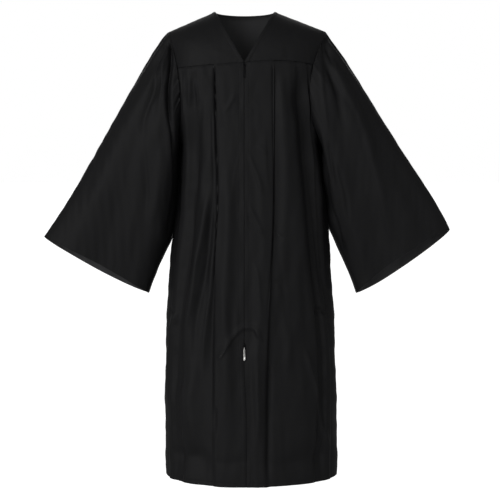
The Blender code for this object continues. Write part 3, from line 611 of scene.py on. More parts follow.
def pleated_line(face, length, drops, places, shares):
    """Distances and heights across every row of a pleated panel, from its centre to its edge.

    A pleat runs over turns t from -1 to 1. Distance = place + half width * t - tuck * sin(pi t),
    which doubles back where the tuck is deep. Height = -step * sin(pi t) over the middle half
    and level beyond, so the side nearer the centre lies on top.
    """
    half, tuck, step = (column(PLEAT_SHAPE, number, drops)[:, None] for number in (1, 2, 3))
    opened = ease((drops - FRONT_SEAM_DROP) / (OPENING_END - FRONT_SEAM_DROP))[:, None]
    softer = ease((drops - OPENING_END) / OPENING_END)[:, None]
    step = step * (SEWN_STEP + (1 - SEWN_STEP) * ease((drops[:, None] - drops[0]) / 0.05))
    distances = [LEADS[face][None] + 0 * half]
    heights = [0 * distances[0]]
    last_distance = PLACKET_END + 0 * half if face < 0 else BACK_START * places[:, :1]
    last_height = np.zeros_like(half)
    turns = TURNS[face][None, :-1]
    for number, share in enumerate(shares):
        place = places[:, number:number + 1]
        own_step = step * (1.0 + (share - 1.0) * softer)
        level = -own_step * (1.0 - opened)
        width = half * share
        flat = np.linspace(0.0, 1.0, STRETCHES[face][number] + 1)[None, :-1]
        distances.append(last_distance + (place - width - last_distance) * flat)
        heights.append(last_height + (level + own_step - last_height) * ease(flat))
        distances.append(place + width * turns - tuck * share * np.sin(math.pi * turns))
        heights.append(level - own_step * np.sin(math.pi * np.clip(turns, -0.5, 0.5)))
        last_distance = place + width
        last_height = level - own_step
    flat = np.linspace(0.0, 1.0, STRETCHES[face][-1] + 1)[None]
    distances.append(last_distance + (length - last_distance) * flat)
    heights.append(last_height * (1.0 - ease(flat)))
    return np.concatenate(distances, axis=1), np.concatenate(heights, axis=1)


print("pleats:", sum(len(rows) for rows in FRONT_PLEATS.values()) + 2 * len(BACK_PLEATS))

# %% [markdown]
# ## The creases of the front
# These tables are the gown's own character. Ridges catch the key lamp on their left, and the
# troughs beside them fall dark. The pressed pleats open into them, a sharp fold runs off to the
# lower left, and a wrinkle arches over the end of the zip where the cloth is held.

# %% Front creases
# line of (x, drop) in mm, height, width towards -X, width towards +X, fade in, fade out
FRONT_CREASES = (
    # the wearer's right, beside and beyond the main pleat
    (((-91, 150), (-84, 263), (-81, 341), (-87, 406), (-94, 490)), 2.6, 15, 8, 0.15, 0.3),
    (((-86, 440), (-100, 536), (-111, 602), (-124, 666), (-137, 762), (-153, 838), (-165, 910)),
     4.4, 11, 7, 0.2, 0.35),
    (((-82, 480), (-93, 570), (-99, 646), (-112, 723), (-126, 798), (-134, 974)), -4.2, 7, 10, 0.2, 0.4),
    (((-160, 166), (-164, 223), (-157, 262), (-149, 341), (-152, 446), (-162, 560)), 3.4, 10, 7, 0.1, 0.4),
    (((-141, 172), (-142, 211), (-148, 275)), 1.8, 5, 5, 0.2, 0.5),
    (((-131, 176), (-125, 211), (-122, 232), (-128, 275)), 2.0, 5, 5, 0.3, 0.5),
    (((-114, 215), (-121, 300), (-127, 419), (-135, 511), (-147, 640), (-160, 750), (-174, 860)),
     -5.5, 34, 12, 0.25, 0.35),
    (((-82, 601), (-87, 664), (-90, 732), (-101, 812), (-109, 892), (-109, 1024)), 2.2, 6, 6, 0.25, 0.4),
    (((-80, 640), (-83, 758), (-89, 890), (-89, 1041)), -3.4, 10, 8, 0.3, 0.4),
    (((-44, 400), (-40, 496), (-40, 590), (-45, 681), (-50, 757), (-45, 889), (-43, 1021), (-40, 1150)),
     4.4, 18, 14, 0.15, 0.3),
    (((-178, 960), (-150, 1068), (-120, 1150)), 5.0, 36, 34, 0.35, 0.4),
    (((-204, 1178), (-165, 1188), (-125, 1182), (-85, 1164)), -7.0, 80, 28, 0.3, 0.4),
    (((-178, 775), (-194, 848), (-203, 897), (-208, 988), (-207, 1091)), 3.2, 5, 6, 0.15, 0.3),
    (((-208, 797), (-194, 796), (-176, 798)), -1.8, 6, 5, 0.3, 0.4),
    (((-75, 1030), (-77, 1128)), -2.6, 5, 5, 0.3, 0.4),
    # across the zip
    (((-71, 917), (-61, 905), (-43, 878), (-22, 846), (-1, 832), (23, 832), (37, 854), (50, 878)),
     2.6, 3.6, 9, 0.12, 0.2),
    (((-21, 218), (-37, 248), (-54, 274)), 1.6, 6, 5, 0.3, 0.4),
    (((9, 360), (22, 405), (33, 431), (50, 492)), 1.8, 6, 6, 0.3, 0.3),
    (((0, 480), (7, 580)), 1.2, 5, 5, 0.4, 0.4),
    (((9, 505), (33, 553), (53, 600)), 1.9, 6, 6, 0.3, 0.3),
    (((26, 350), (48, 366), (62, 382)), 1.3, 8, 8, 0.4, 0.4),
    (((20, 640), (34, 690), (40, 760), (46, 812)), 1.5, 7, 6, 0.3, 0.4),
    # the wearer's left
    (((95, 150), (101, 315), (106, 445), (106, 533), (99, 640), (93, 760), (94, 850)), 3.6, 12, 15, 0.1, 0.4),
    (((112, 170), (124, 300), (133, 390), (142, 465), (151, 587), (159, 700), (162, 810)),
     6.0, 42, 20, 0.2, 0.4),
    (((150, 149), (156, 240), (166, 300), (171, 390), (180, 465), (194, 587), (207, 700), (215, 800),
      (218, 900)), -11.5, 33, 11, 0.12, 0.35),
    # the narrow shadow lines beside the two main pleats
    (((-77, 142), (-76, 250), (-75, 341), (-72, 420), (-72, 520), (-78, 640), (-80, 780)),
     -3.3, 2.4, 2.4, 0.02, 0.3),
    (((-84, 250), (-83, 341), (-81, 430), (-82, 500)), -1.6, 2.4, 2.4, 0.3, 0.4),
    (((74, 142), (75, 289), (76, 548), (71, 655), (66, 721), (62, 768), (63, 900)),
     -2.2, 2.6, 2.4, 0.02, 0.4),
    (((164, 180), (180, 288), (193, 393), (205, 481), (216, 566), (222, 650)), 3.6, 10, 11, 0.15, 0.4),
    (((184, 160), (190, 230), (203, 360), (210, 430)), -3.0, 6, 6, 0.15, 0.4),
    (((82, 560), (92, 590), (112, 600)), -1.6, 6, 5, 0.3, 0.4),
    (((80, 700), (96, 716), (112, 745)), -1.2, 9, 9, 0.3, 0.4),
    (((183, 792), (204, 794), (226, 800)), -3.6, 8, 8, 0.25, 0.3),
    (((155, 870), (169, 927), (191, 1001), (205, 1090), (225, 1159), (236, 1195)), 3.2, 6, 6, 0.2, 0.25),
    (((109, 800), (115, 891), (115, 985)), 2.6, 15, 14, 0.3, 0.4),
    (((31, 850), (32, 968), (33, 1074), (33, 1160)), 3.6, 16, 13, 0.2, 0.35),
    (((66, 900), (63, 1000), (62, 1101), (61, 1254)), -4.6, 8, 9, 0.2, 0.001),
    (((206, 1140), (212, 1200), (212, 1254)), -5.0, 22, 18, 0.5, 0.001),
    (((80, 1212), (150, 1204), (200, 1192), (236, 1184)), -6.0, 80, 36, 0.4, 0.3),
    (((150, 640), (160, 800), (172, 960)), -2.4, 12, 12, 0.3, 0.4),
    # low waves above the hem
    (((-90, 1176), (-50, 1192), (-10, 1186), (10, 1200)), -1.3, 16, 14, 0.3, 0.3),
    (((30, 1180), (90, 1200), (150, 1186)), -1.2, 16, 14, 0.3, 0.3),
)
PUFF = 2.2 * MM              # how far the front swells just under the yoke seam
STITCH_SINK = 0.25 * MM      # how deep a line of stitches draws the cloth in
UNDER_STEP = 0.9 * MM        # how far a panel lies below the yoke's face at their seam
UNDER_YOKE = 1.8 * MM        # how far a panel runs up behind the yoke
HIDDEN_IN = 0.4 * MM         # how far inwards its hidden edge lies
HELD = 4 * MM                # how far a seam's stitches hold the cloth beside them down
HELD_CLOSE = 3 * MM          # the same where the cloth is pulled tight
FREE_BELOW = 0.010           # how far below the yoke seam a crease has its full height
FREE_BESIDE = 0.008          # and how far from the side seam
ARM_ROUND = 1.03             # length round the armhole's edge for its depth
PUFF_END = 0.11              # below the yoke seam, where the swelling has gone
HEM_CALM = 0.6               # share of the creases' height that is gone at the hem
CALM_FROM = HEM_DROP - 0.09
CALM_OVER = 0.08
FOLD_GAIN = {-1: 1.65, 1: 1.5}
# drop, depth, distance of the middle from the side seam, width
SIDE_HOLLOWS = {
    "right": np.array(((0.1395, 0.0, 0.026, 0.012), (0.25, 0.003, 0.026, 0.012), (0.36, 0.008, 0.024, 0.012),
                       (0.46, 0.010, 0.026, 0.013), (0.56, 0.008, 0.030, 0.015), (0.64, 0.003, 0.032, 0.016),
                       (0.72, 0.0, 0.032, 0.016), (1.254, 0.0, 0.032, 0.016))),
    "left": np.array(((0.1395, 0.0, 0.026, 0.012), (0.25, 0.003, 0.026, 0.012), (0.36, 0.008, 0.026, 0.013),
                      (0.46, 0.010, 0.028, 0.014), (0.56, 0.007, 0.030, 0.016), (0.64, 0.002, 0.032, 0.016),
                      (0.72, 0.0, 0.032, 0.016), (1.254, 0.0, 0.032, 0.016))),
}
print("creases in front:", len(FRONT_CREASES))


# %% [markdown]
# ## Seams and turned edges
# A seam is never flat: the stitches draw the cloth in along a line, and the cloth between them
# puckers. Both are small waves of the surface itself. A turned edge has two layers of cloth, so
# the shell is thicker there, on the inside.


# %% Puckers and turned edges
PUCKERS = {  # seam: how high its puckers are, how far they reach
    "yoke seam": (0.5 * MM, 7 * MM),
    "side seam": (0.3 * MM, 6 * MM),
    "turned edge": (0.22 * MM, 8 * MM),
    "zip": (0.2 * MM, 6 * MM),
    "neck": (0.2 * MM, 9 * MM),
    "yoke's lower edge": (0.3 * MM, 8 * MM),
    "yoke's armhole": (0.35 * MM, 8 * MM),
    "sleeve head": (0.35 * MM, 6 * MM),
}
PUCKER_LENGTHS = (7 * MM, 11 * MM, 17 * MM, 29 * MM)


def pucker(run, away, seed, seam):
    """Small uneven waves along a seam: a sum of sines along it, fading with the distance away."""
    height, reach = PUCKERS[seam]
    dice = np.random.default_rng(seed)
    waves = np.zeros_like(run)
    for length in PUCKER_LENGTHS:
        waves += np.sin(2 * math.pi * (run / length + dice.uniform()) + 2 * np.sin(run / (0.9 * length)))
    return height * waves / 2 * bell(away, reach)


def stitch_groove(away, width=1.2 * MM):
    """The narrow dip along a line of stitches: -depth * exp(-(away / width)^2)."""
    return -STITCH_SINK * bell(away, width)


def turned(away_from_edge, depth, extra=0.5 * MM):
    """Thickness of cloth near an edge that is turned in: more up to the depth of the turning."""
    return CLOTH_THICK + extra * (1 - ease((away_from_edge - depth + 0.8 * MM) / (1.0 * MM)))


# %% [markdown]
# ## Front panels
# Each front hangs from its yoke with three pleats, from the zip to the side seam. The grid
# follows the pleats, with many columns round each fold, and the crease tables move its points
# outwards or inwards. Its edge beside the zip is turned in and stitched down, and so is the hem.

# %% Front panels
ZIP_EDGE = 0.45 * MM         # the fronts' edges from the middle, beside the zip and below it
SLIT_EDGE = 0.02 * MM
ZIP_STITCH = 12.5 * MM       # the line of stitches beside the zip, from the edge
SLIDER_LENGTH = 12.8 * MM
SLIDER_ROOM = 1.0 * MM       # how much more the edges part at a slider
KINK_REACH = 0.045           # how far up and down the outline's corner is smoothed
KINK_BELL = 0.022            # width of the bell that weighs the points
KINK_LEVEL = 0.06            # how far up and down from the underarm this is done
# node, drop of its top, drop and place of its pin, 1 where its wide end is at the top
SLIDERS = (
    ("upper", 0.142, 0.1465, (0.0, -0.1252, -0.146219), 1),
    ("lower", 0.871, 0.882, (0.0, -0.152531, -0.881937), -1),
)
WAVE_SEEDS = {-1: 33, 1: 62}


def centre_gap_at(drops):
    """Half the gap between the fronts: wider round the sliders and nearly none below the zip."""
    gap = ZIP_EDGE + (SLIT_EDGE - ZIP_EDGE) * ease((drops - ZIP_END_DROP - 0.008) / 0.03)
    for _, top, *_ in SLIDERS:
        gap = gap + SLIDER_ROOM * bell(drops - top - SLIDER_LENGTH / 2, 0.011)
    return gap


def slider_calm(distance, drop):
    """0 at a slider and 1 away from it: the creases keep clear of its plates."""
    calm = 1.0
    for _, top, *_ in SLIDERS:
        calm = calm * (1 - bell(distance, 0.014) * bell(drop - top - SLIDER_LENGTH / 2, 0.017))
    return calm


def without_kink(place, drop, from_side):
    """Each point moved to the mean of its column, weighted by a bell, near the underarm's level.

    The body's outline turns a corner there, which should show only close to the side seam.
    """
    offsets = np.linspace(-KINK_REACH, KINK_REACH, 19)
    weights = bell(offsets, KINK_BELL)
    share = bell(drop - UNDER_DROP, KINK_LEVEL) * ease((from_side - 0.01) / 0.05)
    moved = place.copy()
    for k in (0, 1):
        mean = sum(weight * read_rows(drop.T + offset, drop.T, place[..., k].T)
                   for offset, weight in zip(offsets, weights)).T / weights.sum()
        moved[..., k] += (mean - place[..., k]) * share
    return moved


def side_hollow(side, from_side, drops):
    """The sleeve's weight draws the body in beside it: a bell along the side seam.

    Its height is -depth * exp(-((distance from the seam - middle) / width)^2), read from a table.
    """
    depth, middle, width = (column(SIDE_HOLLOWS[side], number, drops)[:, None] for number in (1, 2, 3))
    return -depth * bell(from_side - middle, width)


def body_panel(side, face, creases, seed):
    """One half of a body panel: its grid, and the distance from the centre and drop of each point."""
    edges, drops = body_lines(side, face)
    arcs = body_arcs(side, face, edges, drops, centre_gap_at(drops) if face < 0 else 0.0)
    lengths = arcs[1]
    across, shares = pleats_of(side, face, drops)
    places = read_rows(across, abs(arcs[0][..., 0]), lengths)
    distance, height = pleated_line(face, lengths[:, -1:], drops, places, shares)
    place, facing = place_on(arcs, distance)
    drop = -place[..., 2]
    from_side = lengths[:, -1:] - distance
    place = without_kink(place, drop, from_side)
    x = place[..., 0]
    below = drop - drop[:1]
    hanging = ease(below / FREE_BELOW)
    sewn = ease(from_side / FREE_BESIDE)
    calm = 1 - HEM_CALM * ease((drop - CALM_FROM) / CALM_OVER)
    folds = FOLD_GAIN[face] * crease_heights(x, drop, creases) * calm + soft_waves(x, drop, WAVE_SEEDS[face])
    folds += side_hollow(side, from_side + ARM_ROUND * abs(edges[:, 1:2]), drops)
    folds += PUFF * (1 - ease(below / PUFF_END))
    if face < 0:
        folds = folds * slider_calm(distance, drop)
    height = height + folds * hanging * sewn
    height = height + pucker(distance, below, seed, "yoke seam") * ease(below / HELD)
    height = height - UNDER_STEP * (1 - ease(below / HELD))
    height = height + pucker(drop, from_side, seed + 3, "side seam") * ease(from_side / HELD_CLOSE)
    edge_away = abs(drop - (HEM_DROP - HEM_STITCH))
    height = height + stitch_groove(edge_away) + pucker(distance, edge_away, seed + 1, "turned edge")
    outer = place + facing * height[..., None]
    outer[0] -= np.array((0.0, 0.0, SEAM))
    hidden = outer[:1] + np.array((0.0, 0.0, UNDER_YOKE)) - HIDDEN_IN * facing[:1]
    distance = np.concatenate((distance[:1], distance))
    return np.concatenate((hidden, outer)), distance, np.concatenate((drop[:1] - UNDER_YOKE, drop))


SLIT_DRIFT = np.array(((0.90, 0.0), (0.95, 0.001), (1.0, 0.0035), (1.04, 0.0055), (1.254, 0.006)))
SLIT_LAP = np.array((2.0, 2.4, 0.0)) * MM
DRIFT_WIDE = 0.03            # how far from the slit its drift and its lap move the cloth
LAP_WIDE = 4 * MM
SLIT_FROM = ZIP_END_DROP + 0.012   # drop at which the fronts begin to lap
ZIP_LIP = 0.5 * MM           # how far a front's edge rolls inwards beside the zip
ZIP_LIP_WIDE = 1.2 * MM
FRONT_CHANCE = (chance_creases(31, 46, (-215, 250), (150, 1150), 0.9)
                + chance_creases(32, 26, (-200, 240), (150, 260), 0.8, (30, 90)))


def make_front(side, seed):
    """The pleated front panel of one side, as a shell that ends just under the yoke.

    Below the zip the open slit drifts towards the wearer's left, and the right front runs in
    behind the left one: it is moved by the lap times exp(-(distance / 4 mm)^2).
    """
    outer, distance, drop = body_panel(side, -1, FRONT_CREASES + tuple(FRONT_CHANCE), seed)
    beside = abs(distance - ZIP_STITCH)
    forwards = stitch_groove(beside) + pucker(drop, beside, seed + 5, "zip")
    forwards = forwards * ease((drop - 0.15) / 0.01)
    below_zip = ease((drop - SLIT_FROM) / 0.04)
    forwards = forwards - ZIP_LIP * (1 - distance / ZIP_LIP_WIDE).clip(0, 1) ** 2 * (1 - below_zip)
    outer[..., 1] -= forwards
    outer[..., 0] += column(SLIT_DRIFT, 1, drop) * bell(distance, DRIFT_WIDE)
    if side == "right":
        outer += (below_zip * bell(distance, LAP_WIDE))[..., None] * SLIT_LAP
    thick = np.maximum(turned(HEM_DROP - drop, HEM_TURN), turned(distance, ZIP_STITCH))
    make_piece("front_" + side, outer, IN_BODY, thick, distance, drop)


for number, side in enumerate(SIDE_NAMES):
    make_front(side, 31 + 10 * number)

# %% [markdown]
# ## Back panel
# The back is one wide panel with ten pleats, five on each side of its middle. It is made from
# two halves that share their middle column. Its creases are of the same kind as those in front:
# the pleats open unevenly, two long folds drift outwards and the cloth waves above the hem.

# %% Back creases
BACK_CREASES = (
    (((-20, 200), (-24, 420), (-30, 700), (-28, 980)), 3.0, 12, 9, 0.3, 0.3),
    (((12, 170), (14, 330), (8, 560), (14, 820)), -3.2, 9, 10, 0.25, 0.4),
    (((38, 240), (46, 460), (60, 700), (68, 960)), 3.4, 10, 12, 0.3, 0.3),
    (((-62, 230), (-72, 420), (-90, 640), (-118, 860), (-140, 1040)), 4.0, 9, 7, 0.25, 0.35),
    (((-50, 330), (-60, 520), (-78, 720), (-96, 900)), -3.4, 8, 9, 0.3, 0.4),
    (((-104, 200), (-112, 360), (-124, 520), (-150, 760)), -4.4, 12, 11, 0.3, 0.4),
    (((-140, 210), (-146, 340), (-156, 520)), 3.2, 9, 8, 0.25, 0.5),
    (((-168, 620), (-184, 760), (-196, 900), (-202, 1060)), 3.4, 8, 8, 0.3, 0.3),
    (((88, 190), (98, 360), (118, 560), (128, 800)), -5.0, 12, 12, 0.25, 0.4),
    (((120, 200), (134, 380), (152, 560), (160, 700)), 4.0, 12, 10, 0.2, 0.4),
    (((160, 220), (174, 380), (190, 560)), -3.4, 9, 9, 0.3, 0.5),
    (((150, 800), (176, 920), (200, 1060), (214, 1180)), 3.2, 7, 7, 0.3, 0.3),
    (((100, 860), (104, 1000), (98, 1160)), 3.6, 16, 15, 0.35, 0.3),
    (((70, 960), (66, 1100), (62, 1254)), -3.8, 9, 10, 0.3, 0.001),
    (((-44, 900), (-50, 1080), (-52, 1254)), -4.0, 10, 10, 0.3, 0.001),
    (((-84, 960), (-88, 1110), (-92, 1220)), 3.4, 16, 14, 0.35, 0.3),
    (((10, 980), (14, 1120), (16, 1254)), 3.0, 16, 18, 0.4, 0.001),
    (((-200, 1150), (-150, 1172), (-100, 1160)), -3.4, 14, 16, 0.3, 0.3),
    (((120, 1190), (170, 1170), (220, 1180)), -3.0, 14, 14, 0.3, 0.3),
    (((-30, 520), (0, 560), (26, 580)), 1.4, 6, 6, 0.3, 0.4),
    (((60, 300), (90, 330), (112, 372)), 1.6, 6, 6, 0.3, 0.4),
    (((-130, 300), (-104, 330), (-86, 366)), 1.5, 6, 6, 0.3, 0.4),
    (((-180, 560), (-160, 566), (-140, 580)), -2.2, 6, 6, 0.3, 0.4),
)


# %% Back panel
BACK_CHANCE = chance_creases(77, 90, (-215, 250), (150, 1150), 0.9)
SIDE_LAP_IN = 1.5 * MM       # how far in behind the fronts the side edges run
SIDE_LAP = 0.9 * MM          # how far inwards from the fronts' edges


def make_back():
    """The back panel in one piece, from two halves that share their middle column."""
    right, left = (body_panel(side, 1, BACK_CREASES + tuple(BACK_CHANCE), 60) for side in SIDE_NAMES)
    outer, drop = (np.concatenate((right[k][:, :0:-1], left[k]), axis=1) for k in (0, 2))
    for edge, inner in ((0, 1), (-1, -2)):
        outer[:, edge] += SEAM * unit(outer[:, inner] - outer[:, edge])
        below = ease((drop[:, edge] - UNDER_DROP) / 0.01)
        outer[:, edge, 0] -= np.sign(outer[:, edge, 0]) * SIDE_LAP * below
        outer[:, edge, 1] -= SIDE_LAP_IN * below
    make_piece("back", outer, IN_BODY, turned(HEM_DROP - drop, HEM_TURN), None, drop)


make_back()

# %% [markdown]
# ## Yokes
# The yokes are the smooth part of the gown, cut to the shoulders. A yoke is worked out as a
# sheet between four edges: the neck, the shoulder line, the armhole and the seam that the
# pleats hang from. Its neck edge is turned in and topstitched, which makes a firm flat band, and
# the turning of the yoke seam shows as a faint ridge above it.

# %% Front yokes
YOKE_ROWS = 64
EDGE_POINTS = 400            # along the neck edge, from which distances are measured
YOKE_WIDE = 0.150            # along the yoke seam, from the zip to the armhole
YOKE_EDGE = 0.016            # the strip beside the zip with closer columns
YOKE_SPAN = 0.140            # straight across, from the zip to the armhole
BAND_RISE = 1.1 * MM         # how high the turned neck edge stands
BAND_ROLL = 4 * MM           # over this length its edge rolls up
BAND_STEP = 1.6 * MM         # over this length it steps down to the single cloth
NECK_STITCH = 7.4 * MM       # its line of stitches, from the edge
SEAM_TURN = 9 * MM           # the turning inside the yoke seam, pressed upwards
SEAM_RIDGE = 0.35 * MM       # height of the ridge over that turning
EDGE_RISE = 0.45 * MM        # how much more the lower edge stands over the panel
YOKE_WAVES = 0.25 * MM
YOKE_CREASES = (
    (((-170, 70), (-140, 82), (-110, 86)), 0.9, 14, 12, 0.4, 0.4),
    (((-96, 104), (-60, 116), (-30, 122)), 0.9, 7, 8, 0.4, 0.4),
    (((-150, 120), (-120, 128), (-96, 130)), -0.7, 8, 8, 0.4, 0.4),
    (((60, 108), (92, 112), (120, 116)), 0.8, 8, 8, 0.4, 0.4),
    (((120, 60), (150, 76), (186, 84)), 0.9, 14, 12, 0.4, 0.4),
    (((90, 128), (96, 120), (104, 126)), 0.8, 4, 4, 0.4, 0.4),
    (((-100, 36), (-90, 60), (-84, 92)), -0.8, 10, 10, 0.4, 0.4),
    (((104, 40), (98, 66), (80, 96)), 0.7, 10, 10, 0.4, 0.4),
)


def yoke_rows(side):
    """Angles round the armhole from the shoulder to the seam, and the two shares they give."""
    angles = np.linspace(0.0, corner_angle(side), YOKE_ROWS)
    share = angles / angles[-1] * math.pi / 2
    return angles, (1.0 - np.cos(share))[:, None], np.sin(share)[:, None]


def yoke_seam(side, face, across, gap):
    """The row of points where a yoke meets its panel, at shares of the seam's length."""
    edges, drops = body_lines(side, face)
    arcs = body_arcs(side, face, edges[:1], drops[:1], gap)
    return place_on(arcs, across[None] * arcs[1][:, -1:])[0][0]


def to_armhole(grid, side, face, angles, across):
    """The grid with its last column moved onto the armhole, and the others by share^3 of that."""
    own = armhole(side, angles, face)
    return grid + (own - grid[:, -1])[:, None] * (across**3)[None, :, None]


def away_from(grid, line):
    """Distance of every point of a grid from a smooth line through a few points."""
    dense = along(line, np.linspace(0, 1, EDGE_POINTS))
    return np.linalg.norm(grid[:, :, None] - dense[None, None], axis=3).min(axis=2)


def yoke_surface(grid, heights, from_neck, above_seam):
    """The grid moved outwards by its creases, its turned neck edge and the ridge above its seam.

    The neck edge rolls up over 4 mm, h = rise (1 - (1 - d / 4 mm)^2), and stays raised as far as
    its stitches, where it steps down to the single cloth. The lower edge stands over the panel,
    and its turning shows as a faint ridge.
    """
    rolled = 1 - (1 - from_neck / BAND_ROLL).clip(0, 1) ** 2
    band = 1 - ease((from_neck - NECK_BAND + 1.0 * MM) / BAND_STEP)
    heights = heights + BAND_RISE * rolled * band + stitch_groove(from_neck - NECK_STITCH, 0.9 * MM)
    heights += SEAM_RIDGE * (1 - ease((above_seam - SEAM_TURN) / (2.5 * MM)))
    heights += EDGE_RISE * (1 - ease(above_seam / (3 * MM)))
    return grid + outward_normals(grid, IN_YOKES) * heights[..., None]


def make_yoke_front(side, seed):
    """From the V edge to the armhole, and from the shoulder line down to the yoke seam.

    The shoulder line and the seam are two rows. Between them x and drop follow 1 - cos and the
    depth follows sin, which is a quarter of an ellipse.
    """
    sizes = SIDES[side]
    angles, lean, swing = yoke_rows(side)
    across = np.concatenate((np.linspace(0, YOKE_EDGE, 25)[:-1], np.linspace(YOKE_EDGE, YOKE_WIDE, 52)))
    across = across / YOKE_WIDE
    seam = yoke_seam(side, -1, across, ZIP_EDGE)
    shoulder_x = sizes["neck_x"] + (sizes["tip_x"] - sizes["neck_x"]) * across
    shoulder_z = -TIP_DROP * across
    grid = np.stack((shoulder_x + (seam[:, 0] - shoulder_x) * lean, seam[:, 1] * swing,
                     shoulder_z + (seam[:, 2] - shoulder_z) * lean), axis=-1)
    grid = to_armhole(grid, side, -1, angles, across)
    from_neck = away_from(grid, grid[:, 0])
    above_seam = walked(grid[::-1])[::-1]
    from_armhole = (1 - across[None]) * YOKE_SPAN
    x, drop = grid[..., 0], -grid[..., 2]
    heights = pucker(walked(grid[:, :1]) + 0 * from_neck, from_neck, seed, "neck")
    heights += pucker(x, above_seam, seed + 1, "yoke's lower edge")
    heights += pucker(-drop, from_armhole, seed + 2, "yoke's armhole")
    heights += crease_heights(x, drop, YOKE_CREASES)
    heights += soft_waves(x, drop, seed + 3, YOKE_WAVES)
    outer = yoke_surface(grid, heights * ease(from_armhole / 0.005), from_neck, above_seam)
    outer[0, :, 1] = 0.0
    make_piece("yoke_front_" + side, outer, IN_YOKES, turned(from_neck, NECK_BAND, 0.6 * MM), from_neck)


for number, side in enumerate(SIDE_NAMES):
    make_yoke_front(side, 101 + 10 * number)


# %% Back yoke
NECK_SHARE = 0.42            # share of the shoulder edge that the neck takes
SHOULDER_LAP_IN = 1.5 * MM   # how far forwards its shoulder edges run below the front yokes
SHOULDER_LAP = 0.9 * MM      # how far below them they lie


def make_yoke_back():
    """One piece over both shoulder blades; the neck edge is a quarter ellipse on each side."""
    halves = []
    for side in SIDE_NAMES:
        sizes = SIDES[side]
        angles, lean, swing = yoke_rows(side)
        across = np.linspace(0, 1, 66)
        seam = yoke_seam(side, 1, across, 0.0)
        turn = np.clip(across / NECK_SHARE, 0.0, 1.0) * math.pi / 2
        out = np.clip((across - NECK_SHARE) / (1.0 - NECK_SHARE), 0.0, 1.0)
        top_x = sizes["neck_x"] * np.sin(turn) + (sizes["tip_x"] - sizes["neck_x"]) * out
        top_y = NECK_BACK * np.cos(turn)
        top_z = -NECK_DIP * np.cos(turn) - TIP_DROP * out
        grid = np.stack((top_x + (seam[:, 0] - top_x) * swing, top_y + (seam[:, 1] - top_y) * swing,
                         top_z + (seam[:, 2] - top_z) * lean), axis=-1)
        grid = to_armhole(grid, side, 1, angles, across)
        grid[0, across >= NECK_SHARE, 1] += SEAM
        halves.append(grid)
    grid = np.concatenate((halves[0][:, :0:-1], halves[1]), axis=1)
    across = abs(np.linspace(-1, 1, grid.shape[1]))[None]
    down = walked(grid)
    above_seam = down[-1:] - down
    from_neck = away_from(grid, grid[0, across[0] <= NECK_SHARE + 0.001])
    x, drop = grid[..., 0], -grid[..., 2]
    heights = pucker(x, above_seam, 131, "yoke's lower edge")
    heights += soft_waves(x, drop, 132, YOKE_WAVES)
    heights += crease_heights(x, drop, YOKE_CREASES)
    heights = heights * ease((1 - across) / 0.03) * ease(down / 0.01)
    outer = yoke_surface(grid, heights, from_neck, above_seam)
    on_shoulder = grid[0, :, 1] < 2 * SEAM
    outer[0, on_shoulder, 1] = -SHOULDER_LAP_IN
    outer[0, on_shoulder, 2] -= SHOULDER_LAP
    make_piece("yoke_back", outer, IN_YOKES, turned(from_neck, NECK_BAND), from_neck)


make_yoke_back()

# %% [markdown]
# ## Sleeves
# A bell sleeve is a tube that starts as the armhole's oval and widens to the cuff. It is worked
# out as sections between its upper and lower outlines. Gathers stand at the sleeve head: the
# cloth is drawn up along the seam, so narrow folds run out from it and die away. Longer folds
# fan out to the cuff, which is turned up and stitched.

# %% Sleeve tables
SLEEVE_TOPS = {
    "right": ((-0.2000, 0.052), (-0.2156, 0.0658), (-0.2331, 0.0896), (-0.2496, 0.1135),
              (-0.2732, 0.1534), (-0.3198, 0.2334), (-0.3966, 0.3675), (-0.4762, 0.5024),
              (-0.5118, 0.5566), (-0.5435, 0.6015)),
    "left": ((0.2160, 0.052), (0.2262, 0.0658), (0.2440, 0.0896), (0.2616, 0.1135),
             (0.2881, 0.1534), (0.3381, 0.2334), (0.4236, 0.3675), (0.5121, 0.5024),
             (0.5436, 0.5566), (0.5559, 0.5837)),
}
SLEEVE_LOWS = {
    "right": ((-0.1760, 0.352), (-0.1765, 0.392), (-0.1755, 0.452), (-0.1820, 0.522),
              (-0.1935, 0.587), (-0.2010, 0.617), (-0.2140, 0.642), (-0.2330, 0.684),
              (-0.2480, 0.7201), (-0.2600, 0.7540)),
    "left": ((0.2000, 0.352), (0.2025, 0.392), (0.2065, 0.452), (0.2165, 0.517),
             (0.2275, 0.572), (0.2440, 0.6109), (0.2590, 0.644), (0.2745, 0.68),
             (0.2920, 0.7201), (0.3035, 0.7550)),
}
# share of the sleeve's length, how far its underarm seam swings behind the body's side seam
SLEEVE_TUCK = np.array(((0.00, 0.000), (0.05, 0.022), (0.10, 0.036), (0.20, 0.045),
                        (0.50, 0.045), (0.65, 0.030), (0.82, 0.006), (1.00, 0.000)))
# share of the sleeve's length, half its depth from front to back
SLEEVE_DEPTHS = np.array(((0.00, 0.085), (0.10, 0.094), (0.30, 0.092), (0.60, 0.078), (1.00, 0.056)))
INSET_END = 0.45             # share of the length at which the armhole's inset has gone
SKEW_START = 0.55            # share from which the cuff stands higher in front than behind
FLATTEN = 0.60               # how much flatter the tube is at the underarm
FOLD_START = 0.25            # share of the length over which a long fold rises
FINE_GATHERS = 30
GATHERS = 3                  # how many on each face, how deep, where deepest and where they end
GATHER_HEIGHT = 0.0050
GATHER_PEAK = 0.06
GATHER_END = 0.34
BULK = 0.6 * MM              # how far the gathered head stands off the shoulder
HEAD_GAP = 0.4 * MM          # how far the rest of the head stands off the armhole
HEAD_RADIUS = 0.12
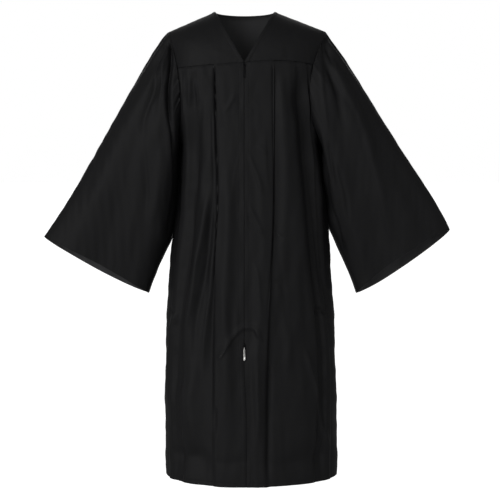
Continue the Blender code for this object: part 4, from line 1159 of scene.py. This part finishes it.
# angle round from the top at the head and at the cuff, height outwards, width, first share
SLEEVE_FOLDS = {
    "right": ((35, 62, 0.0030, 0.026, 0.10), (56, 96, -0.0050, 0.026, 0.05),
              (112, 141, 0.0050, 0.028, 0.08)),
    "left": ((30, 58, -0.0030, 0.026, 0.06), (50, 88, 0.0030, 0.028, 0.10),
             (74, 116, -0.0045, 0.026, 0.10), (98, 142, 0.0040, 0.022, 0.15)),
}
# line of (x, drop) in mm, height, width towards -X, width towards +X, fade in, fade out
SLEEVE_CREASES = {
    "right": (
        (((-197, 70), (-196, 110), (-196, 155), (-200, 215), (-196, 280), (-188, 335)),
         -16.0, 6, 6, 0.08, 0.35),
        (((-197, 250), (-188, 335), (-183, 406), (-185, 483), (-194, 538), (-210, 605)),
         -8.0, 5, 4.5, 0.35, 0.2),
        (((-209, 74), (-213, 98), (-231, 145), (-244, 220), (-264, 280), (-273, 356)),
         -5.5, 7, 8, 0.05, 0.5),
        (((-203, 84), (-200, 98), (-205, 129), (-209, 165)), -2.6, 4, 4, 0.1, 0.5),
        (((-206, 84), (-213, 125), (-219, 200), (-226, 280)), 2.4, 4, 4, 0.1, 0.5),
        (((-268, 330), (-260, 417), (-259, 488), (-268, 565)), -4.2, 12, 6, 0.3, 0.4),
        (((-218, 330), (-225, 420), (-232, 483), (-250, 590)), 5.0, 13, 12, 0.3, 0.3),
        (((-330, 240), (-350, 340), (-378, 440), (-405, 545)), 2.0, 24, 24, 0.3, 0.3),
        (((-290, 420), (-300, 500), (-320, 600)), -1.4, 14, 14, 0.3, 0.4),
    ),
    "left": (
        (((187, 295), (198, 356), (213, 433), (224, 509), (244, 570), (268, 637), (284, 677)),
         -12.0, 6, 6, 0.2, 0.3),
        (((207, 62), (214, 119), (236, 184), (252, 265), (261, 341)), -9.0, 9, 14, 0.03, 0.5),
        (((216, 64), (222, 90), (230, 125), (244, 165)), -4.0, 4, 5, 0.02, 0.5),
        (((226, 100), (252, 179), (299, 270), (330, 367), (355, 456), (382, 576), (407, 640)),
         5.0, 9, 14, 0.15, 0.25),
        (((200, 120), (207, 223), (215, 288), (226, 350)), 2.6, 6, 6, 0.2, 0.4),
        (((221, 340), (228, 390), (234, 433), (240, 480)), -3.0, 4, 5, 0.2, 0.4),
        (((243, 400), (256, 440), (267, 483), (282, 575)), -3.4, 5, 6, 0.2, 0.35),
        (((250, 560), (262, 620), (280, 680)), 2.0, 6, 6, 0.3, 0.4),
        (((410, 440), (422, 499), (450, 590)), 2.4, 18, 18, 0.3, 0.3),
        (((330, 470), (345, 540), (370, 640)), -1.8, 12, 12, 0.3, 0.3),
    ),
}
CUFF_TURN = 12 * MM          # depth of the turned-up cuff
CUFF_STITCH = 11 * MM        # its line of stitches, above the edge


# %% Sleeves
def sleeve_folds(side, angles, shares, grid):
    """Heights of the gathers at the head and of the long folds that fan out to the cuff."""
    rise = ease(shares / GATHER_PEAK) * (1.0 - ease((shares - GATHER_PEAK) / (GATHER_END - GATHER_PEAK)))
    turn = abs(angles) / corner_angle(side)
    waves = np.where(turn < 1.0, np.sin(math.pi * GATHERS * turn) ** 2, 0.0)
    heights = -GATHER_HEIGHT * rise[:, None] * waves[None]
    girth = np.sum(np.linalg.norm(np.roll(grid, -1, axis=1) - grid, axis=2), axis=1)
    for head, cuff, height, width, first in SLEEVE_FOLDS[side]:
        for face in (-1, 1):
            line = np.radians(head + (cuff - head) * shares)
            away = (abs(angles)[None] - line[:, None]) / (2 * math.pi) * girth[:, None]
            fold = bell(away, width) * (np.sign(angles) == face)[None]
            heights = heights + height * ease((shares - first) / FOLD_START)[:, None] * fold
    return heights


def fine_gathers(angles, down, seed):
    """Narrow uneven gathers that die out within a few centimetres of the armhole seam."""
    dice = np.random.default_rng(seed)
    heights = np.zeros((len(down), len(angles)))
    for _ in range(FINE_GATHERS):
        centre = dice.uniform(-1.9, 1.9)
        width = dice.uniform(0.018, 0.05)
        reach = dice.uniform(0.012, 0.055)
        tall = dice.choice((-1, 1)) * dice.uniform(0.6, 1.8) * MM
        heights += tall * bell(angles - centre, width)[None] * np.exp(-down / reach) * ease(down / HELD)
    return heights


SLEEVE_ROWS = 158
SLEEVE_COLUMNS = 300
CROWD = 1.1                  # how much closer the columns lie at the inner folds
CROWD_AT = 2.2               # angle from the top of those folds, and how wide they spread
CROWD_WIDE = 0.55
UNDER_BODY = 2.0 * MM        # how far the sleeve's head runs in behind the body's edge
SLEEVE_CHANCE_X = {"right": (-540, -190), "left": (200, 550)}


def sleeve_angles():
    """Angles round a sleeve from underarm to underarm, closest where the inner folds lie."""
    fine = np.linspace(-math.pi, math.pi, 2001)
    crowd = 1.0 + CROWD * bell(abs(fine) - CROWD_AT, CROWD_WIDE)
    total = np.concatenate(((0.0,), np.cumsum((crowd[1:] + crowd[:-1]) / 2)))
    return np.interp(np.arange(SLEEVE_COLUMNS) / SLEEVE_COLUMNS * total[-1], total, fine)


def sleeve_tube(side, angles, face, shares):
    """The tube without folds, as ovals between its two outlines, and the middle of each.

    y = depth * sin(a)^power + tuck * ((1 - cos(a)) / 2)^20. The power falls from 1 to 0.40 near
    the underarm, where the tube is flatter, and the tuck swings the underarm behind the body.
    """
    sizes = SIDES[side]
    swell = abs(np.sin(angles))
    under = (1.0 - np.cos(angles)) / 2
    tops = along(SLEEVE_TOPS[side], shares)
    lows = along(SLEEVE_LOWS[side], shares)
    middle = (tops + lows) / 2
    flat = middle[:, None] + ((tops - lows) / 2)[:, None] * np.cos(angles)[None, :, None]
    inset = sizes["inset"] * (1.0 - ease(shares / INSET_END))
    x = flat[..., 0] - sizes["sign"] * inset[:, None] * swell**ARMHOLE_CURVE
    skew = np.where(face < 0, sizes["cuff_front"], -sizes["cuff_back"]) * swell
    z = -flat[..., 1] + skew * ease((shares - SKEW_START) / (1 - SKEW_START))[:, None]
    power = 1.0 - FLATTEN * ease(shares / 0.25)[:, None] * under
    depth = column(SLEEVE_DEPTHS, 1, shares)[:, None] * np.sign(angles) * swell**power
    grid = np.stack((x, depth + column(SLEEVE_TUCK, 1, shares)[:, None] * under**20, z), axis=-1)
    grid[0] = np.where(face[:, None] < 0, armhole(side, abs(angles), -1), armhole(side, abs(angles), 1))
    grid[0, :, 0] += sizes["sign"] * (HEAD_GAP + BULK * np.clip(np.cos(angles), 0.0, 1.0) ** 2)
    return grid, np.stack((middle[:, 0], 0 * shares, -middle[:, 1]), axis=-1)[:, None]


def make_sleeve(side, seed):
    """The sleeve: its tube, moved outwards and inwards by gathers, folds, creases and stitches."""
    sizes = SIDES[side]
    angles = sleeve_angles()
    face = np.where(angles < 0, -1, 1)
    u = np.linspace(0, 1, SLEEVE_ROWS)
    shares = 0.5 * u + 0.5 * u**2
    grid, centres = sleeve_tube(side, angles, face, shares)
    x, drop = grid[..., 0], -grid[..., 2]
    down = walked(grid)
    above_cuff = down[-1:] - down
    heights = sleeve_folds(side, angles, shares, grid)
    creases = SLEEVE_CREASES[side] + tuple(chance_creases(seed, 40, SLEEVE_CHANCE_X[side], (90, 640), 0.8))
    on_face = ease(abs(np.sin(angles)) / 0.3)[None]
    for this, shift in ((-1, 0.0), (1, 0.012)):
        own = crease_heights(x + shift * sizes["sign"], drop + 2 * shift, creases)
        heights = heights + own * (face == this)[None] * on_face
    heights += soft_waves(x, drop, seed + 4, 0.5 * MM)
    heights *= ease(down / 0.008)
    heights += fine_gathers(angles, down, seed + 1)
    round_head = HEAD_RADIUS * angles[None] + 0 * down
    heights += pucker(round_head, down, seed + 2, "sleeve head") * ease(down / HELD_CLOSE)
    heights += stitch_groove(above_cuff - CUFF_STITCH)
    heights += pucker(walked(grid, 1), abs(above_cuff - CUFF_TURN), seed + 3, "turned edge")
    outer = grid + outward_normals(grid, centres, True) * heights[..., None]
    ring_middle = np.array(((sizes["tip_x"] + sizes["under_x"]) / 2, 0.0, -ARMHOLE_MIDDLE))
    hidden = outer[0] + 1.0 * MM * unit(ring_middle - outer[0])
    hidden[:, 0] -= sizes["sign"] * UNDER_BODY
    outer = np.concatenate((hidden[None], outer))
    above_cuff = np.concatenate((above_cuff[:1], above_cuff))
    centres = np.concatenate((centres[:1], centres))
    make_piece("sleeve_" + side, outer, centres, turned(above_cuff, CUFF_TURN), above_cuff, around=True)


for number, side in enumerate(SIDE_NAMES):
    make_sleeve(side, 151 + 10 * number)

# %% [markdown]
# ## Zip and thread
# Teeth, stitches and metal parts are closed skins through rings of points. One tooth or one
# stitch is written once, with few faces, and arrays place every copy of it, because there are
# thousands. The two pull tabs hang on pins between the lugs of their sliders, and each moves
# with a body of its own.


# %% Skins through rings
SLAB_POWER = 0.6             # a slab's outline: 1 is an ellipse, towards 0 a rectangle
METAL_SHARP = 35             # degrees from which an edge of metal shows as sharp


def outward(points, face_sets):
    """The same faces, turned over if the volume that they enclose comes out negative."""
    volume = 0.0
    for faces in face_sets:
        fan = points[faces] - points.mean(axis=0)
        for k in range(1, faces.shape[1] - 1):
            volume += np.sum(fan[:, 0] * np.cross(fan[:, k], fan[:, k + 1]))
    return points, [faces[:, ::-1] if volume < 0 else faces for faces in face_sets]


def loft(rings):
    """A skin through rings of equally many points, with a flat cap at both ends."""
    count, size = rings.shape[:2]
    quads = grid_quads(count, size, True)[1]
    caps = np.stack((np.arange(size), count * size - 1 - np.arange(size)))
    return outward(rings.reshape(-1, 3), [quads, caps])


def spindle(profile, size=6):
    """A skin along X through circles: each has its x, its radius and how far it is lifted."""
    x, radius, lift = (np.array(profile) * MM).T[..., None]
    turn = 2 * math.pi * np.arange(size) / size
    return loft(np.stack((x + 0 * turn, radius * np.cos(turn), radius * np.sin(turn) + lift), axis=-1))


def slab(levels, half_x, half_z, middle, taper=0.0, size=24):
    """A skin through rounded outlines: each level has its y and how far its outline shrinks.

    x = (half x + taper * z / half z) * |cos|^0.6 and z = half z * |sin|^0.6, with their signs.
    """
    turn = 2 * math.pi * (np.arange(size) + 0.5) / size
    across = np.sign(np.cos(turn)) * abs(np.cos(turn)) ** SLAB_POWER
    up = np.sign(np.sin(turn)) * abs(np.sin(turn)) ** SLAB_POWER
    rings = [np.stack((middle[0] + (half_x - inset + taper * up) * across, y + 0 * up,
                       middle[1] + (half_z - inset) * up), axis=-1) for y, inset in levels]
    return loft(np.array(rings) * MM)


def hoop(section, steps=22):
    """A ring round the X axis: a closed section of (x, radius) points, turned all the way."""
    x, radius = (np.array(section) * MM).T[:, None]
    turn = (2 * math.pi * np.arange(steps) / steps)[:, None]
    points = np.stack((x + 0 * turn, radius * np.cos(turn), radius * np.sin(turn)), axis=-1)
    index = np.arange(points.shape[0] * points.shape[1]).reshape(points.shape[:2])
    ahead = np.roll(index, -1, axis=0)
    quads = np.stack((index, ahead, np.roll(ahead, -1, axis=1), np.roll(index, -1, axis=1)), axis=-1)
    return outward(points.reshape(-1, 3), [quads.reshape(-1, 4)])


def joined(shapes):
    """Several shapes as one: face numbers are moved on by the points before them."""
    points, face_sets, before = [], [], 0
    for own_points, own_faces in shapes:
        points.append(own_points)
        face_sets += [faces + before for faces in own_faces]
        before += len(own_points)
    return np.concatenate(points), face_sets


def copies(shape, origins, axes):
    """A copy of a shape at each origin, turned to its axes: point = origin + p @ axes."""
    points, face_sets = shape
    placed = origins[:, None] + np.einsum("pk,nkc->npc", points, axes)
    on = (len(points) * np.arange(len(origins)))[:, None, None]
    return placed.reshape(-1, 3), [(faces[None] + on).reshape(-1, faces.shape[1]) for faces in face_sets]


# %% [markdown]
# The tapes are sewn behind the fronts, so each one is made from its front's own grid, moved
# inwards. A coil zip's teeth are loops of nylon: each reaches just past the middle and locks
# between two teeth of the other side, half a pitch lower.

# %% Tapes and teeth
TAPE_TOP = 0.1455
TAPE_THICK = 0.45 * MM
TAPE_DEEP = 1.1 * MM         # how far the tape's outer face lies inside the front's outer face
TAPE_GAP = 1.6 * MM          # the tape's edge from the middle
TOOTH_DEEP = 2.0 * MM
TOOTH_PITCH = 1.5 * MM
ZIP_STEP = 0.02              # length over which the front's slope is read
TEETH_FROM = TAPE_TOP + 0.010
TEETH_TO = ZIP_END_DROP - 0.002
TOOTH = spindle(((-0.35, 0.18, 0), (-0.2, 0.33, 0), (0.1, 0.33, 0), (0.4, 0.26, 0), (1.9, 0.26, 0),
                 (2.1, 0.15, 0)))


def zip_axes(drops):
    """Places on the gown's centre front, and their axes: X across, Y inwards, Z up the zip."""
    depth = column(BODY, 1, drops)
    slope = np.arctan((column(BODY, 1, drops + ZIP_STEP) - depth) / ZIP_STEP)
    none = 0 * drops
    places = np.stack((none, -depth, -drops), axis=-1)
    across = np.stack((none + 1, none, none), axis=-1)
    inwards = np.stack((none, np.cos(slope), -np.sin(slope)), axis=-1)
    up = np.stack((none, np.sin(slope), np.cos(slope)), axis=-1)
    return places, np.stack((across, inwards, up), axis=1)


def make_tape(side):
    """A woven strip behind the front's edge and the coil along it."""
    sign = SIDES[side]["sign"]
    outer, normals, _, drop = surfaces["front_" + side]
    rows = (drop[:, 0] > TAPE_TOP) & (drop[:, 0] < ZIP_END_DROP)
    columns = slice(4, len(PLACKET) + 1)
    strip = outer[rows, columns] - normals[rows, columns] * TAPE_DEEP
    strip[:, 0, 0] = sign * TAPE_GAP
    tape, _ = cloth_shell("zip_tape_%s_woven" % side, strip, IN_BODY, TAPE_THICK)
    drops = np.arange(TEETH_FROM, TEETH_TO, TOOTH_PITCH) + (sign + 1) / 4 * TOOTH_PITCH
    places, axes = zip_axes(drops)
    lift = np.interp(drops, drop[:, 2], outer[:, 2, 1]) - np.interp(drops, -places[:, 2], places[:, 1])
    places[:, 1] += lift + TOOTH_DEEP
    teeth = copies(TOOTH, places, axes * np.array((sign, 1.0, 1.0))[None, :, None])
    return tape, add_mesh("zip_coil_%s" % side, *outward(*teeth))


tapes = {}
coils = {}
for side in SIDE_NAMES:
    tapes[side], coils[side] = make_tape(side)
print("teeth on each side:", int((TEETH_TO - TEETH_FROM) / TOOTH_PITCH) + 1)

# %% Sliders
PLATE_LEVELS = ((-1.5, 0.9), (-1.42, 0.35), (-1.15, 0.0), (-0.45, 0.0), (-0.3, 0.15))
BACK_LEVELS = ((3.5, 0.15), (3.65, 0.0), (4.4, 0.0), (4.62, 0.35), (4.7, 0.9))
POST_LEVELS = ((-0.4, 0.0), (3.6, 0.0))
LUG_LEVELS = ((-0.4, 0.16), (-0.3, 0.0), (0.3, 0.0), (0.4, 0.16))
PLATE_MIDDLE = -6.45
PIN_Y = -3.7
PIN = spindle(((-2.62, 0.25, 0), (-2.5, 0.48, 0), (-2.4, 0.55, 0), (2.4, 0.55, 0), (2.5, 0.48, 0),
               (2.62, 0.25, 0)), 14)


def slider_shape(pin_z, wide_up):
    """Two plates joined by a post at the wide end, and the pin between two lugs."""
    shapes = [slab(levels, 3.5, 6.4, (0, PLATE_MIDDLE), 0.75 * wide_up)
              for levels in (PLATE_LEVELS, BACK_LEVELS)]
    shapes.append(slab(POST_LEVELS, 0.9, 1.6, (0, PLATE_MIDDLE + 4.0 * wide_up)))
    for lug_x in (-2.0, 2.0):
        points, faces = slab(LUG_LEVELS, 1.85, 1.3, (-2.95, pin_z))
        shapes.append(outward(points[:, (1, 0, 2)] + np.array((lug_x * MM, 0.0, 0.0)), faces))
    shapes.append((PIN[0] + np.array((0, PIN_Y, pin_z)) * MM, PIN[1]))
    return joined(shapes)


def on_zip(name, shape, top, place=None):
    """A metal piece at a drop of the zip, turned to the front's slope there."""
    places, axes = zip_axes(np.array((top,)))
    if place:
        places = np.array((place,))
    return add_mesh(name + "_metal", *copies(shape, places, axes), sharp=METAL_SHARP)


sliders = {}
for name, top, pin_drop, _, wide_up in SLIDERS:
    sliders[name] = on_zip("slider_" + name, slider_shape((top - pin_drop) / MM, wide_up), top)

# %% [markdown]
# A pull tab is a flat drop of metal with a shallow panel pressed into both faces. Its skin runs
# through rings from the eye to the round end: each ring is the same list of shares of its half
# width, and the panel is a step in the middle of the list.

# %% Pull tabs
EYE = ((-1.1, 1.15), (-1.1, 1.6), (-0.9, 1.8), (0.9, 1.8), (1.1, 1.6), (1.1, 1.15), (0.9, 0.95),
       (-0.9, 0.95))
# z below the pin, half width, depth of the panel
PULL_RINGS = (
    (-1.5, 1.05, 0), (-3.2, 1.15, 0), (-4.6, 1.6, 0), (-6.2, 1.95, 0), (-7.7, 2.08, 0), (-8.2, 2.1, 0.3),
    (-15.0, 2.25, 0.3), (-22.0, 2.4, 0.3), (-29.3, 2.5, 0.3), (-29.8, 2.5, 0), (-31.5, 2.5, 0),
    (-32.6, 2.25, 0), (-33.4, 1.65, 0), (-33.85, 0.85, 0), (-34.0, 0.3, 0),
)
# share of the half width, half thickness, 1 where the panel lowers it
PULL_SECTION = np.array(((1, 0.3, 0), (0.95, 0.6, 0), (0.86, 0.7, 0), (0.68, 0.7, 0), (0.58, 0.7, 1),
                         (0, 0.7, 1)))


def pull_shape():
    """The eye round the pin and the tab that hangs from it."""
    rings = []
    for z, half, panel in PULL_RINGS:
        x = half * PULL_SECTION[:, 0]
        y = PULL_SECTION[:, 1] - panel * PULL_SECTION[:, 2]
        x = np.concatenate((x, -x[-2::-1]))
        y = np.concatenate((y, y[-2::-1]))
        rings.append(np.stack((np.append(x, x[::-1]), np.append(y, -y[::-1]), np.full(2 * len(x), z)), -1))
    return joined((hoop(EYE), loft(np.array(rings) * MM)))


pulls = {name: on_zip("pull_" + name, pull_shape(), top, place) for name, top, _, place, _ in SLIDERS}

# %% [markdown]
# Every turned edge is held by a line of stitches: the hem, the cuffs, the neck and the two
# plackets beside the zip. The lines are read from the finished surfaces, so the stitches lie in
# their grooves.

# %% Stitches
STITCH_PITCH = 3.0 * MM
STITCH_HALF = 0.8 * MM       # half the length over which a stitch's direction is read
STITCH = spindle(((-1.05, 0.07, -0.14), (-0.85, 0.17, -0.02), (0, 0.2, 0.05), (0.85, 0.17, -0.02),
                  (1.05, 0.07, -0.14)))
NECK_REACH = 0.077           # half the width of the back neck


def line_on(outer, normals, keys, level):
    """The line on a surface where a quantity that grows along every row reaches a level."""
    at = np.full((len(outer), 1), level)
    return read_points(at, keys, outer)[:, 0], unit(read_points(at, keys, normals)[:, 0])


def stitched(line, facing):
    """Copies of one stitch, end to end along a line, each lying square to the cloth."""
    lengths = walked(line)
    at = np.arange(2 * STITCH_HALF, lengths[-1] - 2 * STITCH_HALF, STITCH_PITCH)

    def read(shift, values):
        return read_points((at + shift)[None], lengths[None], values[None])[0]

    up = unit(read(0.0, facing))
    ahead = unit(read(STITCH_HALF, line) - read(-STITCH_HALF, line))
    aside = unit(np.cross(up, ahead))
    axes = np.stack((ahead, aside, np.cross(ahead, aside)), axis=1)
    return copies(STITCH, read(0.0, line) + 0.08 * MM * up, axes)


runs = []
for name in ("front_right", "front_left", "back"):
    outer, normals, _, _ = surfaces[name]
    runs.append(stitched(outer[-5], normals[-5]))
at_zip = int(np.argmin(abs(PLACKET - ZIP_STITCH)))
for side in SIDE_NAMES:
    outer, normals, _, _ = surfaces["front_" + side]
    runs.append(stitched(outer[3:-5, at_zip], normals[3:-5, at_zip]))
    outer, normals, from_neck, _ = surfaces["yoke_front_" + side]
    runs.append(stitched(*line_on(outer[1:-1], normals[1:-1], from_neck[1:-1], NECK_STITCH)))
    outer, normals, above_cuff, _ = surfaces["sleeve_" + side]
    upwards = [array[::-1].swapaxes(0, 1) for array in (outer, normals, above_cuff)]
    runs.append(stitched(*(np.append(row, row[:1], axis=0) for row in line_on(*upwards, CUFF_STITCH))))
outer, normals, from_neck, _ = surfaces["yoke_back"]
at_neck = abs(outer[0, :, 0]) < NECK_REACH
downwards = [array[:, at_neck].swapaxes(0, 1) for array in (outer, normals, from_neck)]
runs.append(stitched(*line_on(*downwards, NECK_STITCH)))
thread = add_mesh("stitches", *outward(*joined(runs)))
print("stitches:", len(thread.data.vertices) // len(STITCH[0]))

# %% [markdown]
# ## Materials
# The cloth is a plain-woven polyester: deep black and nearly matt. Its wrong side is painted
# about five times lighter. That is painted light, standing in for light that reaches the insides
# at the neck and the cuffs. A picture of fabric could be used, but sine waves make the same threads
# at any size, so the weave is a node group. It reads the piece's UV map, which is in metres of
# cloth, so the threads keep their size and run with the folds.


# %% Weaves
THREAD = 0.4 * MM            # after this length the weave repeats
TAPE_THREAD = 0.7 * MM
FINE_GRAIN = 420.0           # noise features in a metre: slubs, broad patches, the tape's fluff
BROAD_GRAIN = 16.0
TAPE_GRAIN = 160.0
TWILL_TURN = 4 * MM          # the herringbone changes sides twice in this length


def math_node(tree, operation, first, second=None):
    """A math node whose inputs are sockets or plain numbers; gives its output socket."""
    node = tree.nodes.new("ShaderNodeMath")
    node.operation = operation
    for socket, value in zip(node.inputs, (first, second)):
        if isinstance(value, (int, float)):
            socket.default_value = value
        elif value is not None:
            tree.links.new(value, socket)
    return node.outputs[0]


def product(tree, first, second):
    """The product of two sockets or numbers."""
    return math_node(tree, "MULTIPLY", first, second)


def noise(tree, vector, scale, detail=3.0):
    """A noise texture at a number of features for each metre; gives its value socket."""
    node = tree.nodes.new("ShaderNodeTexNoise")
    node.inputs["Scale"].default_value = scale
    node.inputs["Detail"].default_value = detail
    tree.links.new(vector, node.inputs["Vector"])
    return node.outputs["Fac"]


def weave_group(name, pattern):
    """A shader group that turns Cloth (metres) and Thread (a length) into Height and Tone."""
    group = bpy.data.node_groups.new(name, "ShaderNodeTree")
    group.interface.new_socket("Cloth", in_out="INPUT", socket_type="NodeSocketVector")
    group.interface.new_socket("Thread", in_out="INPUT", socket_type="NodeSocketFloat").default_value = THREAD
    for label in ("Height", "Tone"):
        group.interface.new_socket(label, in_out="OUTPUT", socket_type="NodeSocketFloat")
    given = group.nodes.new("NodeGroupInput").outputs
    wanted = group.nodes.new("NodeGroupOutput").inputs
    split = group.nodes.new("ShaderNodeSeparateXYZ")
    group.links.new(given["Cloth"], split.inputs[0])
    turns = math_node(group, "DIVIDE", 2 * math.pi, given["Thread"])
    height, tone = pattern(group, given["Cloth"], split.outputs[0], split.outputs[1], turns)
    group.links.new(height, wanted["Height"])
    group.links.new(tone, wanted["Tone"])
    return group


def plain_weave(group, cloth, x, y, turns):
    """Height = sin(across) * sin(down) and slubs; tone = broad and fine noise."""
    waves = [math_node(group, "SINE", product(group, way, turns)) for way in (x, y)]
    slub = noise(group, cloth, FINE_GRAIN, 2.0)
    height = math_node(group, "ADD", product(group, product(group, *waves), 0.5), slub)
    broad = product(group, noise(group, cloth, BROAD_GRAIN, 4.0), 0.6)
    return height, math_node(group, "ADD", broad, product(group, slub, 0.4))


def herringbone(group, cloth, x, y, turns):
    """Twill that changes sides every few threads: height = sin(turns * (x * side + y))."""
    stripe = math_node(group, "SINE", product(group, x, 2 * math.pi / TWILL_TURN))
    lean = product(group, x, math_node(group, "SIGN", stripe))
    twill = math_node(group, "SINE", product(group, math_node(group, "ADD", lean, y), turns))
    return twill, math_node(group, "ADD", product(group, twill, 0.2), noise(group, cloth, TAPE_GRAIN))


WEAVE = weave_group("plain weave", plain_weave)
HERRINGBONE = weave_group("herringbone", herringbone)
print("groups:", [group.name for group in bpy.data.node_groups])


# %% Cloth, nylon, thread and metal
WOVEN_RELIEF = 0.12 * MM     # how deep the bumps of woven and of other things are
PLAIN_RELIEF = 0.1 * MM


def uneven(name, colours, rough, bump, values, scale=None, weave=None, thread_width=None):
    """A material whose tone drives colour and roughness, and whose height drives a fine bump.

    Woven things read both from a weave group. Other things read both from one noise.
    """
    made, tree, shader = new_material(name, values)
    if weave:
        pattern = tree.nodes.new("ShaderNodeGroup")
        pattern.node_tree = weave
        pattern.inputs["Thread"].default_value = thread_width
        place = tree.nodes.new("ShaderNodeUVMap")
        place.uv_map = "cloth"
        tree.links.new(place.outputs["UV"], pattern.inputs["Cloth"])
        tone, height = pattern.outputs["Tone"], pattern.outputs["Height"]
    else:
        place = tree.nodes.new("ShaderNodeTexCoord")
        tone = height = noise(tree, place.outputs["Object"], scale, 5.0)
    colour = tree.nodes.new("ShaderNodeMix")
    colour.data_type = "RGBA"
    colour.inputs["A"].default_value, colour.inputs["B"].default_value = colours
    roughness = tree.nodes.new("ShaderNodeMapRange")
    roughness.inputs["To Min"].default_value, roughness.inputs["To Max"].default_value = rough
    relief = tree.nodes.new("ShaderNodeBump")
    relief.inputs["Strength"].default_value = bump
    relief.inputs["Distance"].default_value = WOVEN_RELIEF if weave else PLAIN_RELIEF
    for source, target in ((tone, colour.inputs["Factor"]), (tone, roughness.inputs["Value"]),
                           (height, relief.inputs["Height"]),
                           (colour.outputs["Result"], shader.inputs["Base Color"]),
                           (roughness.outputs["Result"], shader.inputs["Roughness"]),
                           (relief.outputs["Normal"], shader.inputs["Normal"])):
        tree.links.new(source, target)
    return made


CLOTH_SHEEN = {"Sheen Weight": 0.0015, "Sheen Roughness": 0.4, "Specular IOR Level": 0.1}
DULL = {"Specular IOR Level": 0.1}
black_cloth = uneven("black polyester", ((0.0052, 0.0052, 0.0056, 1), (0.0092, 0.0092, 0.0097, 1)),
                     (0.56, 0.66), 0.2, CLOTH_SHEEN, weave=WEAVE, thread_width=THREAD)
# Painted light: the wrong side is about five times lighter than the right side, so the shaded insides at the
# neck and cuffs show bright.
inside_painted_light = uneven("black polyester, inside with painted light", ((0.031, 0.031, 0.032, 1), (0.047, 0.047, 0.0485, 1)),
                      (0.6, 0.7), 0.2, CLOTH_SHEEN, weave=WEAVE, thread_width=THREAD)
woven_tape = uneven("woven zip tape", ((0.005, 0.005, 0.0053, 1), (0.009, 0.009, 0.0095, 1)),
                    (0.6, 0.75), 0.5, DULL, weave=HERRINGBONE, thread_width=TAPE_THREAD)
black_nylon = uneven("black nylon", ((0.004, 0.004, 0.004, 1), (0.009, 0.009, 0.009, 1)),
                     (0.45, 0.6), 0.1, DULL, 900.0)
black_thread = uneven("black thread", ((0.005, 0.005, 0.0053, 1), (0.011, 0.011, 0.0114, 1)),
                      (0.55, 0.75), 0.4, {"Specular IOR Level": 0.15}, 2500.0)
black_enamel = uneven("black enamel", ((0.002, 0.002, 0.0022, 1), (0.0045, 0.0045, 0.005, 1)),
                      (0.3, 0.45), 0.1, {"Specular IOR Level": 0.04}, 500.0)
nickel = uneven("nickel plate", ((0.40, 0.395, 0.38, 1), (0.56, 0.555, 0.54, 1)),
                (0.22, 0.42), 0.1, {"Metallic": 1.0, "Specular IOR Level": 0.5}, 420.0)
for materials, things in (
        ((black_cloth, inside_painted_light), pieces.values()), ((woven_tape, woven_tape), tapes.values()),
        ((black_nylon,), coils.values()), ((black_thread,), (thread,)),
        ((black_enamel,), (*sliders.values(), pulls["upper"])), ((nickel,), (pulls["lower"],))):
    for thing in things:
        for material in materials:
            thing.data.materials.append(material)
print("materials:", [material.name for material in bpy.data.materials])

# %% [markdown]
# ## Bodies
# Each piece moves with a body of its own, and the solid of the frame that it stands for is hidden.

# %% Bodies
for name, piece in pieces.items():
    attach(piece, "gown")
    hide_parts(name)

for side in SIDE_NAMES:
    for piece in (tapes[side], coils[side]):
        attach(piece, "gown")
        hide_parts("zip_tape_" + side)
for name in ("upper", "lower"):
    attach(sliders[name], "gown")
    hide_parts("slider_" + name)
    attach(pulls[name], "pull_%s_tab" % name)
    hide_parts("pull_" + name)
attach(thread, "gown")
